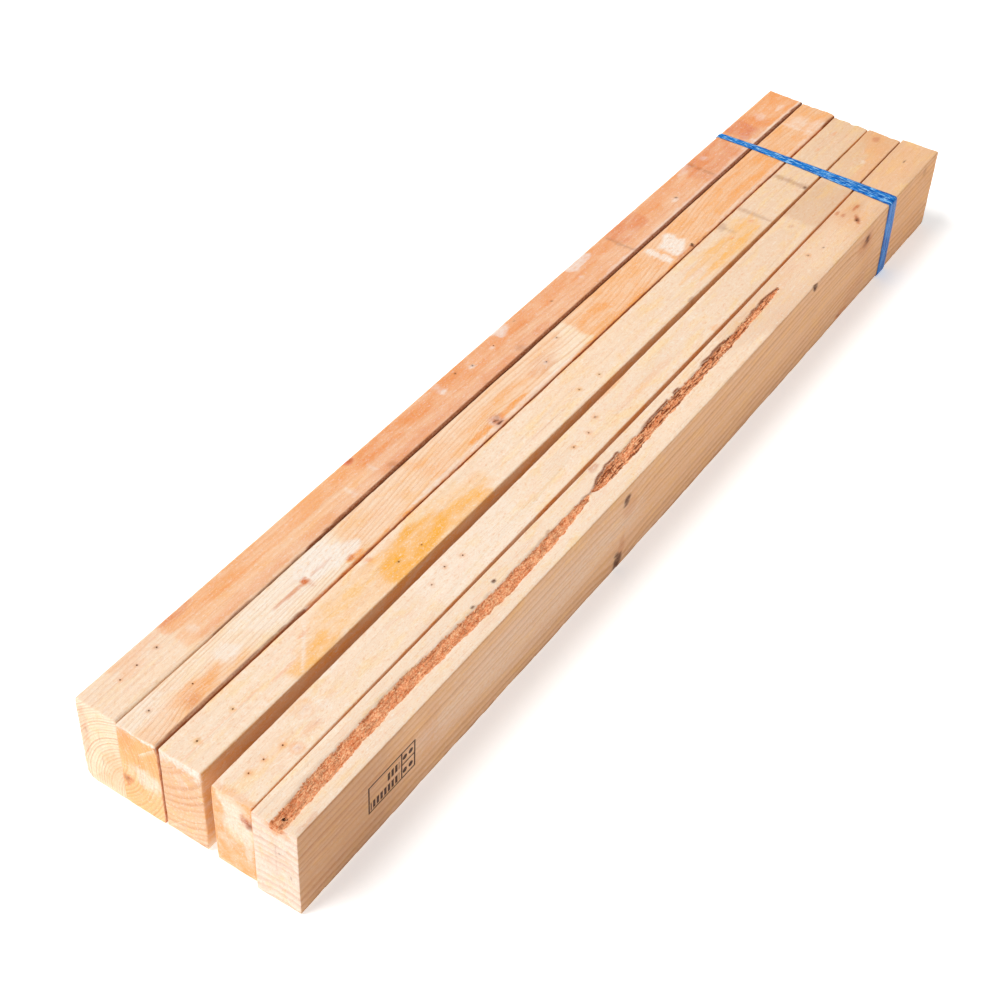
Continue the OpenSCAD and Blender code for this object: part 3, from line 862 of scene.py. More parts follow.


# %% [markdown]
# ## What happened to each stud
# These lists are read as a carpenter would describe the sticks. The left stud went orange
# and then red towards its far end; the second has a pale scuffed stretch and an open knot
# with a flame of resin; the third carries a bright yellow stain; the fourth is pale with
# two faint knots; the right stud is the palest, with bark in its top and a few red knots.
# `knots` swell the rings; the tan list says how far the wood has browned along the stud. A group
# of marks names a layer and a face. Then each mark gives the two places of its middle, its
# two radii and its strength, and, where they aren't the usual ones, its softness,
# raggedness, boxiness and slant. Places along a stud count from the row's near end. Some
# marks are painted shade rather than stain: the dark bands along the long top edges beside
# the gaps, and on the right stud the tan and the darkening on its outer face.

# %% Marks of the five studs
looks = {
    "stud_1": dict(
        start=4, pith=(-30, 5), ring_width=2.4, wander=5, rise=6,
        knots=((308, 36, 86, 6, 3), (863, 30, 86, 4, 2), (426, 27, 86, 4, 2)),
        tan=((0, 0), (600, 0), (1020, 0.25)),
        marks=(
            ("amber top", (560, 31, 474, 9, 0.66, 0.12, 0.2, 8), (560, 14, 474, 11, 0.42, 0.12, 0.15, 8),
             (430, 30, 120, 12, 0.30), (300, 24, 26, 6, 0.45), (60, 35, 26, 6, 0.40),
             (48, 24, 10, 5, 0.35), (985, 22, 36, 22, 0.65, 0.2, 0.3, 5)),
            ("rust top", (330, 6, 230, 6, 0.22, 0.5, 0.4, 4), (640, 20, 330, 24, 0.22, 0.3, 0.3, 5),
             (720, 27, 25, 12, 0.42, 0.12, 0.25, 7), (870, 22, 36, 20, 0.30, 0.2, 0.3, 5),
             (935, 26, 15, 15, 0.60, 0.15, 0.25, 7), (310, 36, 5, 4, 0.85, 0.3, 0.15),
             (105, 37, 18, 4, 0.50)),
            # The long marks at the right edge, at -0.6 and -0.2 across, are painted shade of the gap to the
            # next stud; the others are dirt.
            ("dirt top", (694.5, 19, 1.8, 17, 0.34, 1.0, 0.9, 5), (848, 22, 2.0, 16, 0.32, 1.0, 0.9, 5),
             (512, 7, 5, 4, 0.22), (328, 6, 4, 4, 0.25), (620, -0.6, 408, 4.0, 0.95, 0.12, 0.12, 6),
             (165, -0.2, 60, 1.4, 0.60, 0.3, 0.5, 4)),
            ("chalk top", (40, 20, 46, 22, 0.22, 0.3, 0.4, 4), (522, 36.5, 9, 8, 0.85, 0.15, 0.35, 4),
             (646, 35.5, 17, 6, 0.80, 0.15, 0.45, 4), (426, 33, 4, 9, 0.42, 0.4, 0.4, 4),
             (425, 26, 3.2, 3, 0.75), (466, 26, 3, 2.4, 0.75), (498, 26.5, 2.4, 2, 0.6),
             (102, 16, 4, 5, 0.35), (284, 13, 2.4, 7, 0.45, 0.4, 0.4, 4), (316, 17, 2, 5, 0.35),
             (630, 20, 3, 3, 0.45), (832, 33, 9, 4, 0.45, 0.5, 0.7), (867, 30, 4.4, 4, 0.8),
             (842, 35, 6, 2, 0.6), (788, 15, 5, 2.2, 0.6), (925, 16, 3.4, 3.6, 0.75),
             (925, 6, 2.6, 3.2, 0.65), (968, 22, 8, 5, 0.42), (996, 14, 8, 3, 0.4),
             (830, 3.2, 190, 2.8, 0.5, 0.3, 0.4, 4)),
            ("knot top", (312, 36, 2.4, 2, 0.25), (791, 16.5, 1.4, 1.4, 0.8), (541, 32, 1.2, 1.0, 0.6),
             (584, 22, 1.2, 0.9, 0.6)),
            ("rust near", (33, 55, 4, 26, 0.25)),
            ("amber near", (8, 34, 9, 18, 0.35)),
            ("dirt near", (32, 56, 1.4, 2.6, 0.3)),
            ("amber near", (14, 12, 14, 9, 0.28)),
        )),
    "stud_2": dict(
        start=3, pith=(66, 40), ring_width=3.0, wander=12, rise=30,
        knots=((186, 18.7, 84, 7, -4), (419, 7.8, 84, 8, 7), (52, 10, 84, 9, 5),
               (507, 17, 84, 6, 3)),
        tan=((0, 0), (600, 0), (1020, 0.45)),
        marks=(
            ("amber top", (45, 6, 60, 16, 0.35, 0.5), (290, 16, 60, 22, 0.34, 0.4, 0.4, 4),
             (420, 10, 84, 14, 0.40, 0.4, 0.4, 4), (440, 30, 110, 12, 0.34, 0.4, 0.4, 4),
             (800, 19, 236, 22, 0.62, 0.14, 0.16, 7), (600, 20, 30, 8, 0.45),
             (870, 18, 50, 16, 0.35, 0.4, 0.4, 4), (230, 6, 9, 3.4, 0.75), (960, 8, 50, 7, 0.35),
             (64, 14, 26, 7, 0.50, 0.5, 0.8)),
            ("rust top", (52, 10, 8, 6, 0.30, 0.7, 0.8), (186, 18.7, 4.4, 1.4, 0.75, 0.6, 0.8, 2, 40),
             (186, 18.7, 4.4, 1.4, 0.75, 0.6, 0.8, 2, -50), (168, 18.5, 18, 1.8, 0.55),
             (205, 18.5, 12, 1.4, 0.35), (187, 16, 2.2, 6, 0.4)),
            ("amber top", (404, 8, 20, 3.0, 0.95, 0.5, 0.4), (440, 8, 24, 3.2, 0.95)),
            ("rust top", (423, 8, 8, 6.5, 0.55), (505, 18, 20, 7, 0.25, 0.5, 0.7),
             (226, 6.5, 4, 2.4, 0.55), (720, 3, 16, 1.2, 0.8)),
            # The dark bands along both long top edges (at -0.6, -0.9 and 39 across) are painted shade of
            # the gaps beside them. The amber band at -0.2 is partly the worn edge's colour and partly
            # painted shade.
            ("dirt top", (82, -0.6, 84, 3.7, 0.78, 0.12, 0.12, 6)),
            ("amber top", (600, -0.2, 430, 3.0, 0.90, 0.2, 0.3, 6)),
            ("rust right", (510, 40, 530, 70, 0.9, 0.1, 0, 8)),
            ("dirt top", (600, -0.9, 430, 2.0, 0.60, 0.2, 0.3, 6), (600, 39, 410, 1.6, 0.60, 0.2, 0.4, 6)),
            ("chalk top", (98, 20, 9, 8, 0.55, 0.25, 0.4, 4), (175, 22, 56, 14, 0.42, 0.4, 0.6, 3),
             (208, 22, 22, 11, 0.70, 0.2, 0.6, 3), (236, 14, 10, 6, 0.75, 0.3, 0.3),
             (20, 30, 24, 12, 0.35), (700.5, 19, 4.5, 15, 0.80, 0.3, 0.5, 5),
             (721, 18.5, 13, 12, 0.85, 0.2, 0.55, 4), (985, 21, 13, 14, 0.45, 0.6, 0.8, 4),
             (972, 24, 3, 12, 0.35), (420, 3.4, 120, 2.2, 0.45, 0.3, 0.4, 4),
             (880, 3, 120, 2.6, 0.35, 0.3, 0.4, 4), (421, 8, 6.4, 5.8, 0.70, 0.2, 0.2)),
            # Painted shade of the gap at the far end of the right top edge.
            ("dirt top", (1005, -0.6, 18, 3.2, 0.9)),
            ("knot top", (425.2, 7.8, 1.2, 3.4, 0.95, 0.5, 0.5), (421.5, 4.4, 3.6, 1.0, 0.9, 0.5, 0.5)),
            ("rust top", (421.5, 7.6, 3.8, 3.6, 0.85, 0.3, 0.3)),
            ("knot top", (420.5, 8.4, 2.2, 0.8, 0.8, 0.5, 0.6), (733, 3.3, 2.2, 1.8, 0.9)),
            ("chalk top", (509, 17, 2.6, 2.2, 0.7), (541, 28, 2.6, 2, 0.35)),
            ("amber near", (22, 66, 24, 22, 0.50, 0.3, 0.3, 3)),
            ("rust near", (32, 74, 8, 12, 0.2)),
            ("amber near", (22, 14, 20, 18, 0.22)),
            ("chalk near", (12, 40, 14, 11, 0.55, 0.4, 0.7), (7, 83.5, 12, 2.2, 0.9, 0.3, 0.6, 4),
             (30, 83.5, 10, 1.2, 0.8)),
            ("knot near", (33, 28, 2.6, 2, 0.35, 0.5, 0.5)),
            ("rust near", (34, 28, 5, 4.4, 0.85, 0.5, 0.6)),
        )),
    "stud_3": dict(
        start=4, pith=(52, 112), ring_width=6.0, wander=4, rise=4,
        knots=((228, 32, 85, 4, 2), (882, 2, 85, 4, 2)),
        tan=((0, 0.1), (150, 0), (560, 0.1), (830, 0.45), (1020, 0.8)),
        marks=(
            ("amber top", (134, 6, 28, 10, 0.60, 0.5, 0.7), (140, 14, 16, 6, 0.35),
             (250, 15, 112, 17, 0.36, 0.3, 0.5, 3), (266, 14, 42, 14, 0.85, 0.4, 0.6),
             (318, 8, 30, 7, 0.60, 0.5, 0.8), (342, 4, 9, 7, 0.60), (540, 24, 110, 12, 0.10),
             (745, 21, 70, 3.4, 0.40, 0.5, 0.9), (742, 8.5, 52, 3.2, 0.58, 0.5, 0.8),
             (760, 14, 48, 14, 0.34, 0.5, 0.7)),
            ("rust top", (232, 32.6, 3, 2.4, 0.5), (145, 25, 6, 1.4, 0.5), (766, 18.5, 2, 1.8, 0.5),
             (801, 17, 3, 2, 0.45), (951, 23, 4, 1.8, 0.4), (986, 24, 4, 1.8, 0.4),
             (45, 18.3, 44, 0.7, 0.30, 0.4, 0.3), (108, 14, 16, 0.8, 0.4)),
            ("dirt top", (774, 35, 6, 5, 0.30, 0.6, 0.9), (775, 27, 2, 7, 0.22, 0.8, 0.9),
             (812, 20, 2.2, 20, 0.30, 1.0, 0.9, 5), (883, 19, 3.0, 17, 0.36, 1.0, 0.9, 5)),
            ("knot top", (882, 2.4, 2, 1.6, 0.7)),
            ("dirt top", (662, 1.4, 5, 1.6, 0.4)),
            ("chalk top", (136, 18, 26, 1.3, 0.60, 0.4, 0.15, 2, 37)),
            # The bands along the left top edge (39.6 and 38.6 across) and the right one (-0.6) are painted
            # shade of the gaps beside them. The amber one is partly the worn edge's colour as well.
            ("dirt top", (520, 39.6, 500, 1.2, 0.35, 0.2, 0.4, 6)),
            ("amber top", (520, 38.6, 500, 1.6, 0.45, 0.2, 0.4, 6)),
            ("dirt top", (860, -0.6, 160, 0.8, 0.4, 0.2, 0.3, 6)),
            ("rust near", (20, 54, 18, 24, 0.14)),
            ("chalk near", (20, 83, 21, 4.6, 0.75, 0.4, 0.8, 4), (20, 64, 5, 4.5, 0.35, 0.4, 0.8),
             (22, 50, 2, 3, 0.4), (4, 80, 5, 8, 0.45, 0.4, 0.6)),
            ("amber near", (30, 20, 12, 10, 0.12)),
            ("amber right", (520, 60, 540, 60, 0.50, 0.2, 0.2, 6)),
            ("rust right", (520, 60, 540, 60, 0.32, 0.2, 0.2, 6)),
        )),
    "stud_4": dict(
        start=1, pith=(14, 44), ring_width=5.0, wander=8, rise=18,
        knots=((59, 8, 81, 5, 3), (90, 26, 81, 8, 5), (816, 19, 81, 4, 2), (1000, 20, 81, 6, 4)),
        tan=((0, 0.06), (110, 0.12), (222, 0.12), (228, 0), (340, 0.05), (500, 0.22), (640, 0.2),
             (700, 0.35), (825, 0.45), (832, 0.62), (920, 0.7), (1020, 0.95)),
        marks=(
            ("amber top", (4, 20, 4, 22, 0.35), (60, 8, 5.4, 5.4, 0.55, 0.25, 0.15), (80, 12, 11, 3, 0.35),
             (45, 18, 24, 12, 0.10)),
            ("chalk top", (60, 8, 3.4, 3.4, 0.5, 0.4, 0.2)),
            ("rust top", (60, 8, 1.6, 1.6, 0.35)),
            ("amber top", (90, 26, 9, 8.5, 0.22, 0.25, 0.3)),
            ("chalk top", (90, 26, 6, 5.6, 0.30, 0.3, 0.3)),
            ("rust top", (91, 26, 3, 3, 0.12)),
            ("chalk top", (128, 34, 11, 3, 0.5), (101, 22, 3, 12, 0.40, 0.4, 0.3, 3),
             (640, 28, 8, 5, 0.30), (290, 18, 62, 20, 0.22, 0.2, 0.3, 6)),
            ("rust top", (85, 11, 4, 1, 0.4)),
            ("amber top", (515, 35, 28, 2.4, 0.50, 0.5, 0.5), (535, 14, 44, 3.6, 0.24, 0.5, 0.7),
             (638, 3, 6, 3, 0.4)),
            ("rust top", (1002, 21, 5, 3.4, 0.50, 0.5, 0.6)),
            ("amber top", (1000, 16, 24, 16, 0.35, 0.5, 0.7), (960, 6, 40, 8, 0.3)),
            ("rust top", (816, 20, 2.4, 2, 0.35)),
            ("chalk top", (957, 14, 3, 2.4, 0.5), (578, 20, 2.4, 1.6, 0.45), (607, 19, 2.4, 1.6, 0.45)),
            ("dirt top", (865, 18, 40, 18, 0.10, 0.2, 0.3, 6)),
            # The amber and dark bands along the right top edge are painted shade of the gap to the right
            # stud. The amber one is partly the worn edge's colour as well.
            ("amber top", (540, -0.6, 400, 1.4, 0.9, 0.2, 0.25, 6)),
            ("dirt top", (960, -0.4, 60, 1.2, 0.6, 0.2, 0.25, 6)),
            ("amber right", (510, 40, 530, 70, 0.8, 0.1, 0, 8)),
            ("amber near", (32, 50, 8, 30, 0.75, 0.4, 0.6), (16, 18, 26, 22, 0.72, 0.25, 0.4, 3),
             (5, 76, 9, 8, 0.55)),
            ("chalk near", (18, 62, 10, 18, 0.45, 0.4, 0.6), (6, 40, 4, 22, 0.45),
             (26, 30, 6, 5, 0.35, 0.5, 0.8)),
            ("knot near", (4, 61, 3, 2, 0.5, 0.5, 0.6)),
            ("rust near", (5, 63, 5.4, 4.6, 1.0, 0.4, 0.6)),
        )),
    "stud_5": dict(
        start=0, pith=(18, -62), ring_width=6.8, wander=5, rise=-10,
        knots=((422, 0, 70, 11, 5), (411, 0, 10, 12, 7), (862, 0, 70, 13, 6), (845, 0, 8, 26, -9),
               (880, 24, 86, 8, 3)),
        tan=((0, 0), (330, 0), (480, 0.14), (640, 0.25), (800, 0.5), (900, 0.75), (1020, 0.95)),
        marks=(
            ("rust top", (420, 35, 6, 3, 0.50), (862, 35, 4, 1.6, 0.75), (862, 28.6, 4, 1.8, 0.90),
             (881, 24.6, 6.5, 1.6, 0.95), (864, 15, 8, 2.2, 0.90, 0.4, 0.4, 2, 38)),
            ("dirt top", (864, 15, 5, 1, 0.6, 0.4, 0.4, 2, 38)),
            ("amber top", (864, 20, 22, 16, 0.30), (960, 22, 60, 12, 0.18), (700, 28, 60, 6, 0.16)),
            ("knot top", (863, 14.4, 2.4, 2, 0.6), (983, 20.6, 3, 0.8, 0.7), (803, 20.6, 1, 0.9, 0.7),
             (747, 0, 4, 1.8, 0.9)),
            ("rust top", (14, 3, 12, 1.6, 0.3, 0.4, 0.9)),
            ("amber near", (17, 81, 9, 7, 0.65, 0.5, 0.5)),
            ("rust near", (17, 84, 7, 4, 0.6)),
            ("chalk near", (13, 72, 3, 12, 0.35)),
            ("rust near", (18, 46, 16, 12, 0.10, 0.5, 0.9)),
            ("knot near", (16, 57, 0.9, 1, 0.5), (7, 37, 0.8, 1.6, 0.45)),
            # The tan over the whole outer face is painted shade: this face looks away from the key lamp.
            ("tan right", (510, 43, 530, 70, 0.85, 0.05, 0, 8)),
            ("amber right", (560, 43, 560, 70, 0.32, 0.1, 0, 8)),
            # The first mark is painted shade that darkens the outer face near its near end; the second
            # darkens a strip along the bottom of the face.
            ("dirt right", (20, 43, 95, 60, 0.30, 0.6, 0.2, 4), (500, 1, 520, 3, 0.40, 0.3, 0.3, 6)),
            ("chalk right", (280, 48, 160, 24, 0.22, 0.6, 0.3)),
            ("rust right", (150, 50, 12, 26, 0.12)),
            ("knot top", (269, 28.5, 2.0, 1.4, 0.85, 0.5, 0.5), (238, 25.6, 2.4, 1.2, 0.85, 0.5, 0.6)),
            ("knot right", (417, 72, 5, 4.6, 0.95, 0.4, 0.4)),
            ("rust right", (424, 62, 9, 10, 0.28)),
            ("knot right", (410, 8.5, 5.5, 9, 0.85, 0.4, 0.5)),
            ("rust right", (416, 22, 5, 11, 0.42)),
            ("knot right", (861, 70, 4, 3.4, 0.85, 0.5, 0.8)),
            ("rust right", (858, 69, 14, 12, 0.40)),
            ("dirt right", (860, 69, 7, 6, 0.5)),
            ("rust right", (826, 7, 12, 3, 0.60, 0.5, 0.6)),
            ("knot right", (820, 6, 3, 2, 0.55)),
            ("rust right", (850, 18, 20, 9, 0.22), (870, 40, 12, 24, 0.12)),
            ("amber right", (975, 40, 55, 50, 0.20, 0.2, 0.1, 6)),
            ("dirt right", (990, 78, 5, 4, 0.3)),
        )),
}

# %% Paint every stud
def in_order(groups):
    """Every mark with its layer and face, in the order they are listed."""
    return [(*kind.split(), *spot) for kind, *spots in groups for spot in spots]


def nail_marks(own, node):
    """Darkness inside the nail holes, and the rusty halo round them."""
    dark, halo = np.zeros(len(own)), np.zeros(len(own))
    for spot in nails[node]:
        away = np.hypot(own[:, 0] - spot[0], own[:, 1] - spot[1])
        sunk = np.clip(spot[2] - own[:, 2], 0, NAIL_DEEP)
        dark = np.maximum(dark, ease(sunk, 0.1, 0.7) * (away < 1.6 + 0.14 * sunk))
        halo = np.maximum(halo, (1 - ease(away, 1.6, 4.4)) * (sunk < 3))
    return dark, halo


def pocket_lip(own):
    """The dark broken line where the bark has come away from the wood on its left."""
    u, left = np.array(POCKET, float)[:, (0, 2)].T
    edge = np.interp(own[:, 0], u, left) + 0.9 * noise(own[:, :2] + 90, (6, 40), 43)
    line = 1 - ease(np.abs(own[:, 1] - edge), 0.5, 1.5)
    broken = ease(noise(own[:, :1], 9, 47), -0.35, 0.25)
    inside = (own[:, 0] < u[-1]) * (own[:, 2] > POCKET_FLOOR)
    return line * inside * broken * np.interp(own[:, 0], (300, 400), (0.12, 0.95))


def stain(node):
    """Every layer of one stud, stored on its mesh."""
    piece, lie = pieces[node], lies[node]
    look = Facts(seed=sticks[node].seed, **looks[node])
    mesh = piece.data
    own = to_own(vertices(mesh), lie)
    from_near = own + (look.start, 0, 0)
    layers = {name: np.zeros(len(own)) for name in LAYERS}
    layers["tan"] = np.interp(from_near[:, 0], *np.array(look.tan, float).T)
    normals = np.empty(len(own) * 3, np.float32)
    mesh.vertex_normals.foreach_get("vector", normals)
    normals = normals.reshape(-1, 3)
    for count, (layer, face, *rest) in enumerate(in_order(look.marks)):
        here = own if face == "near" else from_near
        strength = mark(here, lie, 100 * look.seed + count, face, *rest)
        if face != "top":
            strength = strength * ease(normals @ FACING[face], 0.4, 0.8)
        layers[layer] = 1 - (1 - layers[layer]) * (1 - strength)
    layers["endgrain"] = ease(np.abs(normals[:, 0]), 0.45, 0.85)
    layers["hole"], halo = nail_marks(own, node)
    layers["amber"] = np.maximum(layers["amber"], 0.5 * halo)
    layers["rings"] = ring_count(from_near, look)
    layers["bark"] = 0 * halo
    if node == "stud_5":
        layers["bark"] = pocket_share(own) * (own[:, 2] > lie.depth - BARK_REACH)
        layers["dirt"] = np.maximum(layers["dirt"], pocket_lip(own))
    for name, values in layers.items():
        paint(mesh, name, values)
    mesh.shade_smooth()
    mesh.set_sharp_from_angle(angle=math.radians(48))


for node in STUDS:
    stain(node)
print("layers painted on", len(pieces), "studs:", ", ".join(LAYERS))

# %% [markdown]
# ## Bark crumbs in the pocket
# Bark in a sawn face is not a smooth trough. It breaks into crumbs and flakes that catch
# the light and throw small shadows. A geometry tree scatters a few thousand angular crumbs
# over the faces where the bark layer is strong, turns and squashes each one at random, and
# sinks them half into the floor. They become one mesh that lies in the pocket.

# %% A tree that strews crumbs
def crumb_tree():
    """Angular crumbs on the faces whose bark layer is above a limit."""
    tree, given, end = shape_tree("bark_crumbs", {
        "Density": 1.0, "Smallest": 1.0, "Largest": 1.0, "Seed": 1, "Material": "Material"})
    bark = add(tree, "GeometryNodeInputNamedAttribute", {"Name": "bark"}).outputs[0]
    inside = add(tree, "FunctionNodeCompare", {0: bark, 1: 0.22}, operation="GREATER_THAN")
    spots = add(tree, "GeometryNodeDistributePointsOnFaces", {
        "Mesh": given["Geometry"], "Selection": inside.outputs[0], "Density": given["Density"],
        "Seed": given["Seed"]})
    grain = add(tree, "GeometryNodeMeshIcoSphere", {"Radius": 1.0, "Subdivisions": 1})
    size = add(tree, "FunctionNodeRandomValue", {
        2: given["Smallest"], 3: given["Largest"], "Seed": given["Seed"]}).outputs[1]
    flat = add(tree, "FunctionNodeRandomValue", {
        0: (0.7, 0.5, 0.3), 1: (1.9, 1.1, 0.6), "Seed": 5}, data_type="FLOAT_VECTOR").outputs[0]
    scale = add(tree, "ShaderNodeVectorMath", {0: flat, "Scale": size}, operation="SCALE")
    turn = add(tree, "FunctionNodeRandomValue", {
        0: (-0.6, -0.6, -0.5), 1: (0.6, 0.6, 0.5), "Seed": 9}, data_type="FLOAT_VECTOR").outputs[0]
    crumbs = add(tree, "GeometryNodeInstanceOnPoints", {
        "Points": spots.outputs["Points"], "Instance": grain.outputs[0],
        "Rotation": turn, "Scale": scale.outputs[0]})
    finish_tree(tree, crumbs.outputs[0], given["Material"], end)
    return tree


CRUMBS = {"Density": 560000.0, "Smallest": 0.00035, "Largest": 0.0009}  # per m2, m and m


def strewn_bark():
    """All crumbs as one piece, cut level where one would stand out of the stud's face."""
    piece = place(pieces["stud_5"].data.copy(), "bark_in_stud_5")
    run_tree(piece, crumb_tree(), {**CRUMBS, "Seed": 4, "Material": finishes["bark"]})
    lie = lies["stud_5"]
    own = to_own(vertices(piece.data), lie)
    own[:, 2] = np.minimum(own[:, 2], lie.depth - 0.1)
    own[:, 0] = np.maximum(own[:, 0], 0.5)
    flat = (to_row(own, lie) * MM).astype(np.float32).ravel()
    piece.data.vertices.foreach_set("co", flat)
    piece.data.update()
    print(f"{piece.name}: {len(piece.data.polygons)} faces")
    return piece


pieces["bark"] = strewn_bark()

# %% [markdown]
# ## The blue strap
# The strap is thin plastic tape pulled tight by hand. It is bunched into a narrow rope at
# the left edge and spreads to its full width down the right side, with pleats along it and
# fine crinkles where it was crushed. That is a rule: a strip that follows a closed route,
# with a width that changes on the way. So a geometry tree bends a flat grid round the
# route, reads the width there, lifts the pleats and adds the crinkles.

# %% Route of the strap
SKIN = 0.72  # mm that the route lies inside the strap's outer face
BEND = 2.2  # mm, the strap's radius at the four corners
COURSE = (  # y share from right to left, height share, x and half the width in mm
    (1.0, 1.0, 402.6, 4.0), (0.77, 1.0, 404.0, 4.6), (0.5, 1.0, 403.6, 5.6),
    (0.25, 1.0, 402.6, 7.2), (0.0, 1.0, 401.2, 8.8), (0.0, 0.7, 403.4, 9.4),
    (0.0, 0.3, 405.4, 9.0), (0.0, 0.0, 406.0, 8.6), (0.5, 0.0, 405.0, 7.0),
    (1.0, 0.0, 403.6, 5.4), (1.0, 0.5, 403.0, 4.6),
)


def round_box(y0, y1, z0, z1):
    """Points 4 mm apart on a box with round corners, in order over the top and down the right."""
    corners = (((y1 - BEND, z1 - BEND), 90), ((y1 - BEND, z0 + BEND), 0),
               ((y0 + BEND, z0 + BEND), -90), ((y0 + BEND, z1 - BEND), -180))
    turns = [np.array(middle) + BEND * np.array((math.cos(angle), math.sin(angle)))
             for middle, start in corners for angle in np.radians(start - np.arange(0, 91, 15))]
    stretches = []
    for here, there in zip(turns, turns[1:] + turns[:1]):
        steps = max(2, round(np.hypot(*(there - here)) / 4) + 1)
        stretches.append(here + (there - here) * np.linspace(0, 1, steps)[:-1, None])
    return np.vstack(stretches)


def route_mesh():
    """A closed line of points round the bundle, each with its place and half width."""
    low, high = (np.array(corner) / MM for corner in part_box("strap"))
    (y0, z0), (y1, z1) = low[1:] + SKIN, high[1:] - SKIN
    wide, tall = y1 - y0, z1 - z0

    def share_round(y, z):
        """How far round the box a point lies, from the top left corner by way of the top."""
        side = np.argmin((abs(z - z1), abs(y - y0), abs(z - z0), abs(y - y1)))
        passed = (y1 - y, wide + z1 - z, wide + tall + y - y0, 2 * wide + tall + z - z0)
        return passed[side] / (2 * wide + 2 * tall)

    points = round_box(y0, y1, z0, z1)
    shares = [share_round(y, z) for y, z in points]
    known = sorted((share_round(y0 + a * wide, z0 + b * tall), x, half) for a, b, x, half in COURSE)
    s, x, half = np.array(known).T
    row = np.column_stack((np.interp(shares, s, x, period=1), points)) * MM
    count = len(row)
    mesh = bpy.data.meshes.new("strap_route")
    mesh.from_pydata(row.tolist(), [(i, (i + 1) % count) for i in range(count)], [])
    paint(mesh, "half_width", np.interp(shares, s, half, period=1) * MM)
    return mesh


# %% A tree that lays a pleated strip along a route
def strap_tree():
    """A strip round a closed route, as wide as the route says, pleated and crinkled."""
    tree, given, end = shape_tree("pleated_strap", {
        "Steps round": 10, "Steps across": 10, "Pleat height": 1.0, "Crinkle": 1.0,
        "Material": "Material"})

    def maths(operation, a, b=0.0):
        return add(tree, "ShaderNodeMath", {0: a, 1: b}, operation=operation).outputs[0]

    def vector(operation, a, b):
        return add(tree, "ShaderNodeVectorMath", {0: a, 1: b}, operation=operation).outputs[0]

    def join(x=0.0, y=0.0, z=0.0):
        return add(tree, "ShaderNodeCombineXYZ", {0: x, 1: y, 2: z}).outputs[0]

    def pattern(place, scale, detail, rough=0.5):
        return add(tree, "ShaderNodeTexNoise", {"Vector": place, "Scale": scale, "Detail": detail,
                                                "Roughness": rough}).outputs[0]

    route = add(tree, "GeometryNodeMeshToCurve", {0: given["Geometry"]}).outputs[0]
    grid = add(tree, "GeometryNodeMeshGrid", {
        "Size X": 1.0, "Size Y": 2.0, "Vertices X": given["Steps round"],
        "Vertices Y": given["Steps across"]})
    spot = add(tree, "ShaderNodeSeparateXYZ", {0: add(tree, "GeometryNodeInputPosition").outputs[0]})
    s, t = maths("ADD", spot.outputs[0], 0.5), spot.outputs[1]
    half = add(tree, "GeometryNodeInputNamedAttribute", {"Name": "half_width"}).outputs[0]
    there = add(tree, "GeometryNodeSampleCurve", {"Curves": route, "Value": half, "Factor": s},
                use_all_curves=False)
    width, centre, tangent = there.outputs[0], there.outputs["Position"], there.outputs["Tangent"]
    out = vector("NORMALIZE", vector("CROSS_PRODUCT", (1.0, 0.0, 0.0), tangent), (0.0, 0.0, 0.0))

    reach = maths("MULTIPLY", t, width)
    in_pleats = join(maths("MULTIPLY", s, 9.0), maths("MULTIPLY", t, 2.1),
                     maths("MULTIPLY", width, 260.0))
    off_fold = maths("ABSOLUTE", maths("SUBTRACT", pattern(in_pleats, 1.6, 2.0, 0.55), 0.5))
    ridge = maths("MAXIMUM", maths("SUBTRACT", 1.0, maths("MULTIPLY", off_fold, 5.0)), 0.0)
    crushed = pattern(join(maths("MULTIPLY", s, 190.0), maths("MULTIPLY", reach, 480.0)), 1.0, 3.0, 0.6)
    to_edge = maths("SUBTRACT", 1.0, maths("POWER", maths("ABSOLUTE", t), 6.0))
    lift = maths("ADD", maths("MULTIPLY", ridge, given["Pleat height"]),
                 maths("MULTIPLY", crushed, given["Crinkle"]))
    lift = maths("MULTIPLY", lift, to_edge)
    wave = pattern(join(maths("MULTIPLY", s, 60.0), t), 1.0, 2.0)
    reach = maths("MULTIPLY", reach, maths("ADD", 0.9, maths("MULTIPLY", wave, 0.2)))
    up = add(tree, "ShaderNodeVectorMath", {0: out, "Scale": lift}, operation="SCALE").outputs[0]
    where = vector("ADD", vector("ADD", centre, join(reach)), up)
    marked = add(tree, "GeometryNodeStoreNamedAttribute", {
        0: grid.outputs[0], "Name": "crest", "Value": ridge}, data_type="FLOAT", domain="POINT")
    laid = add(tree, "GeometryNodeSetPosition", {0: marked.outputs[0], "Position": where})
    closed = add(tree, "GeometryNodeMergeByDistance", {0: laid.outputs[0], "Distance": 0.00002})
    finish_tree(tree, closed.outputs[0], given["Material"], end)
    return tree


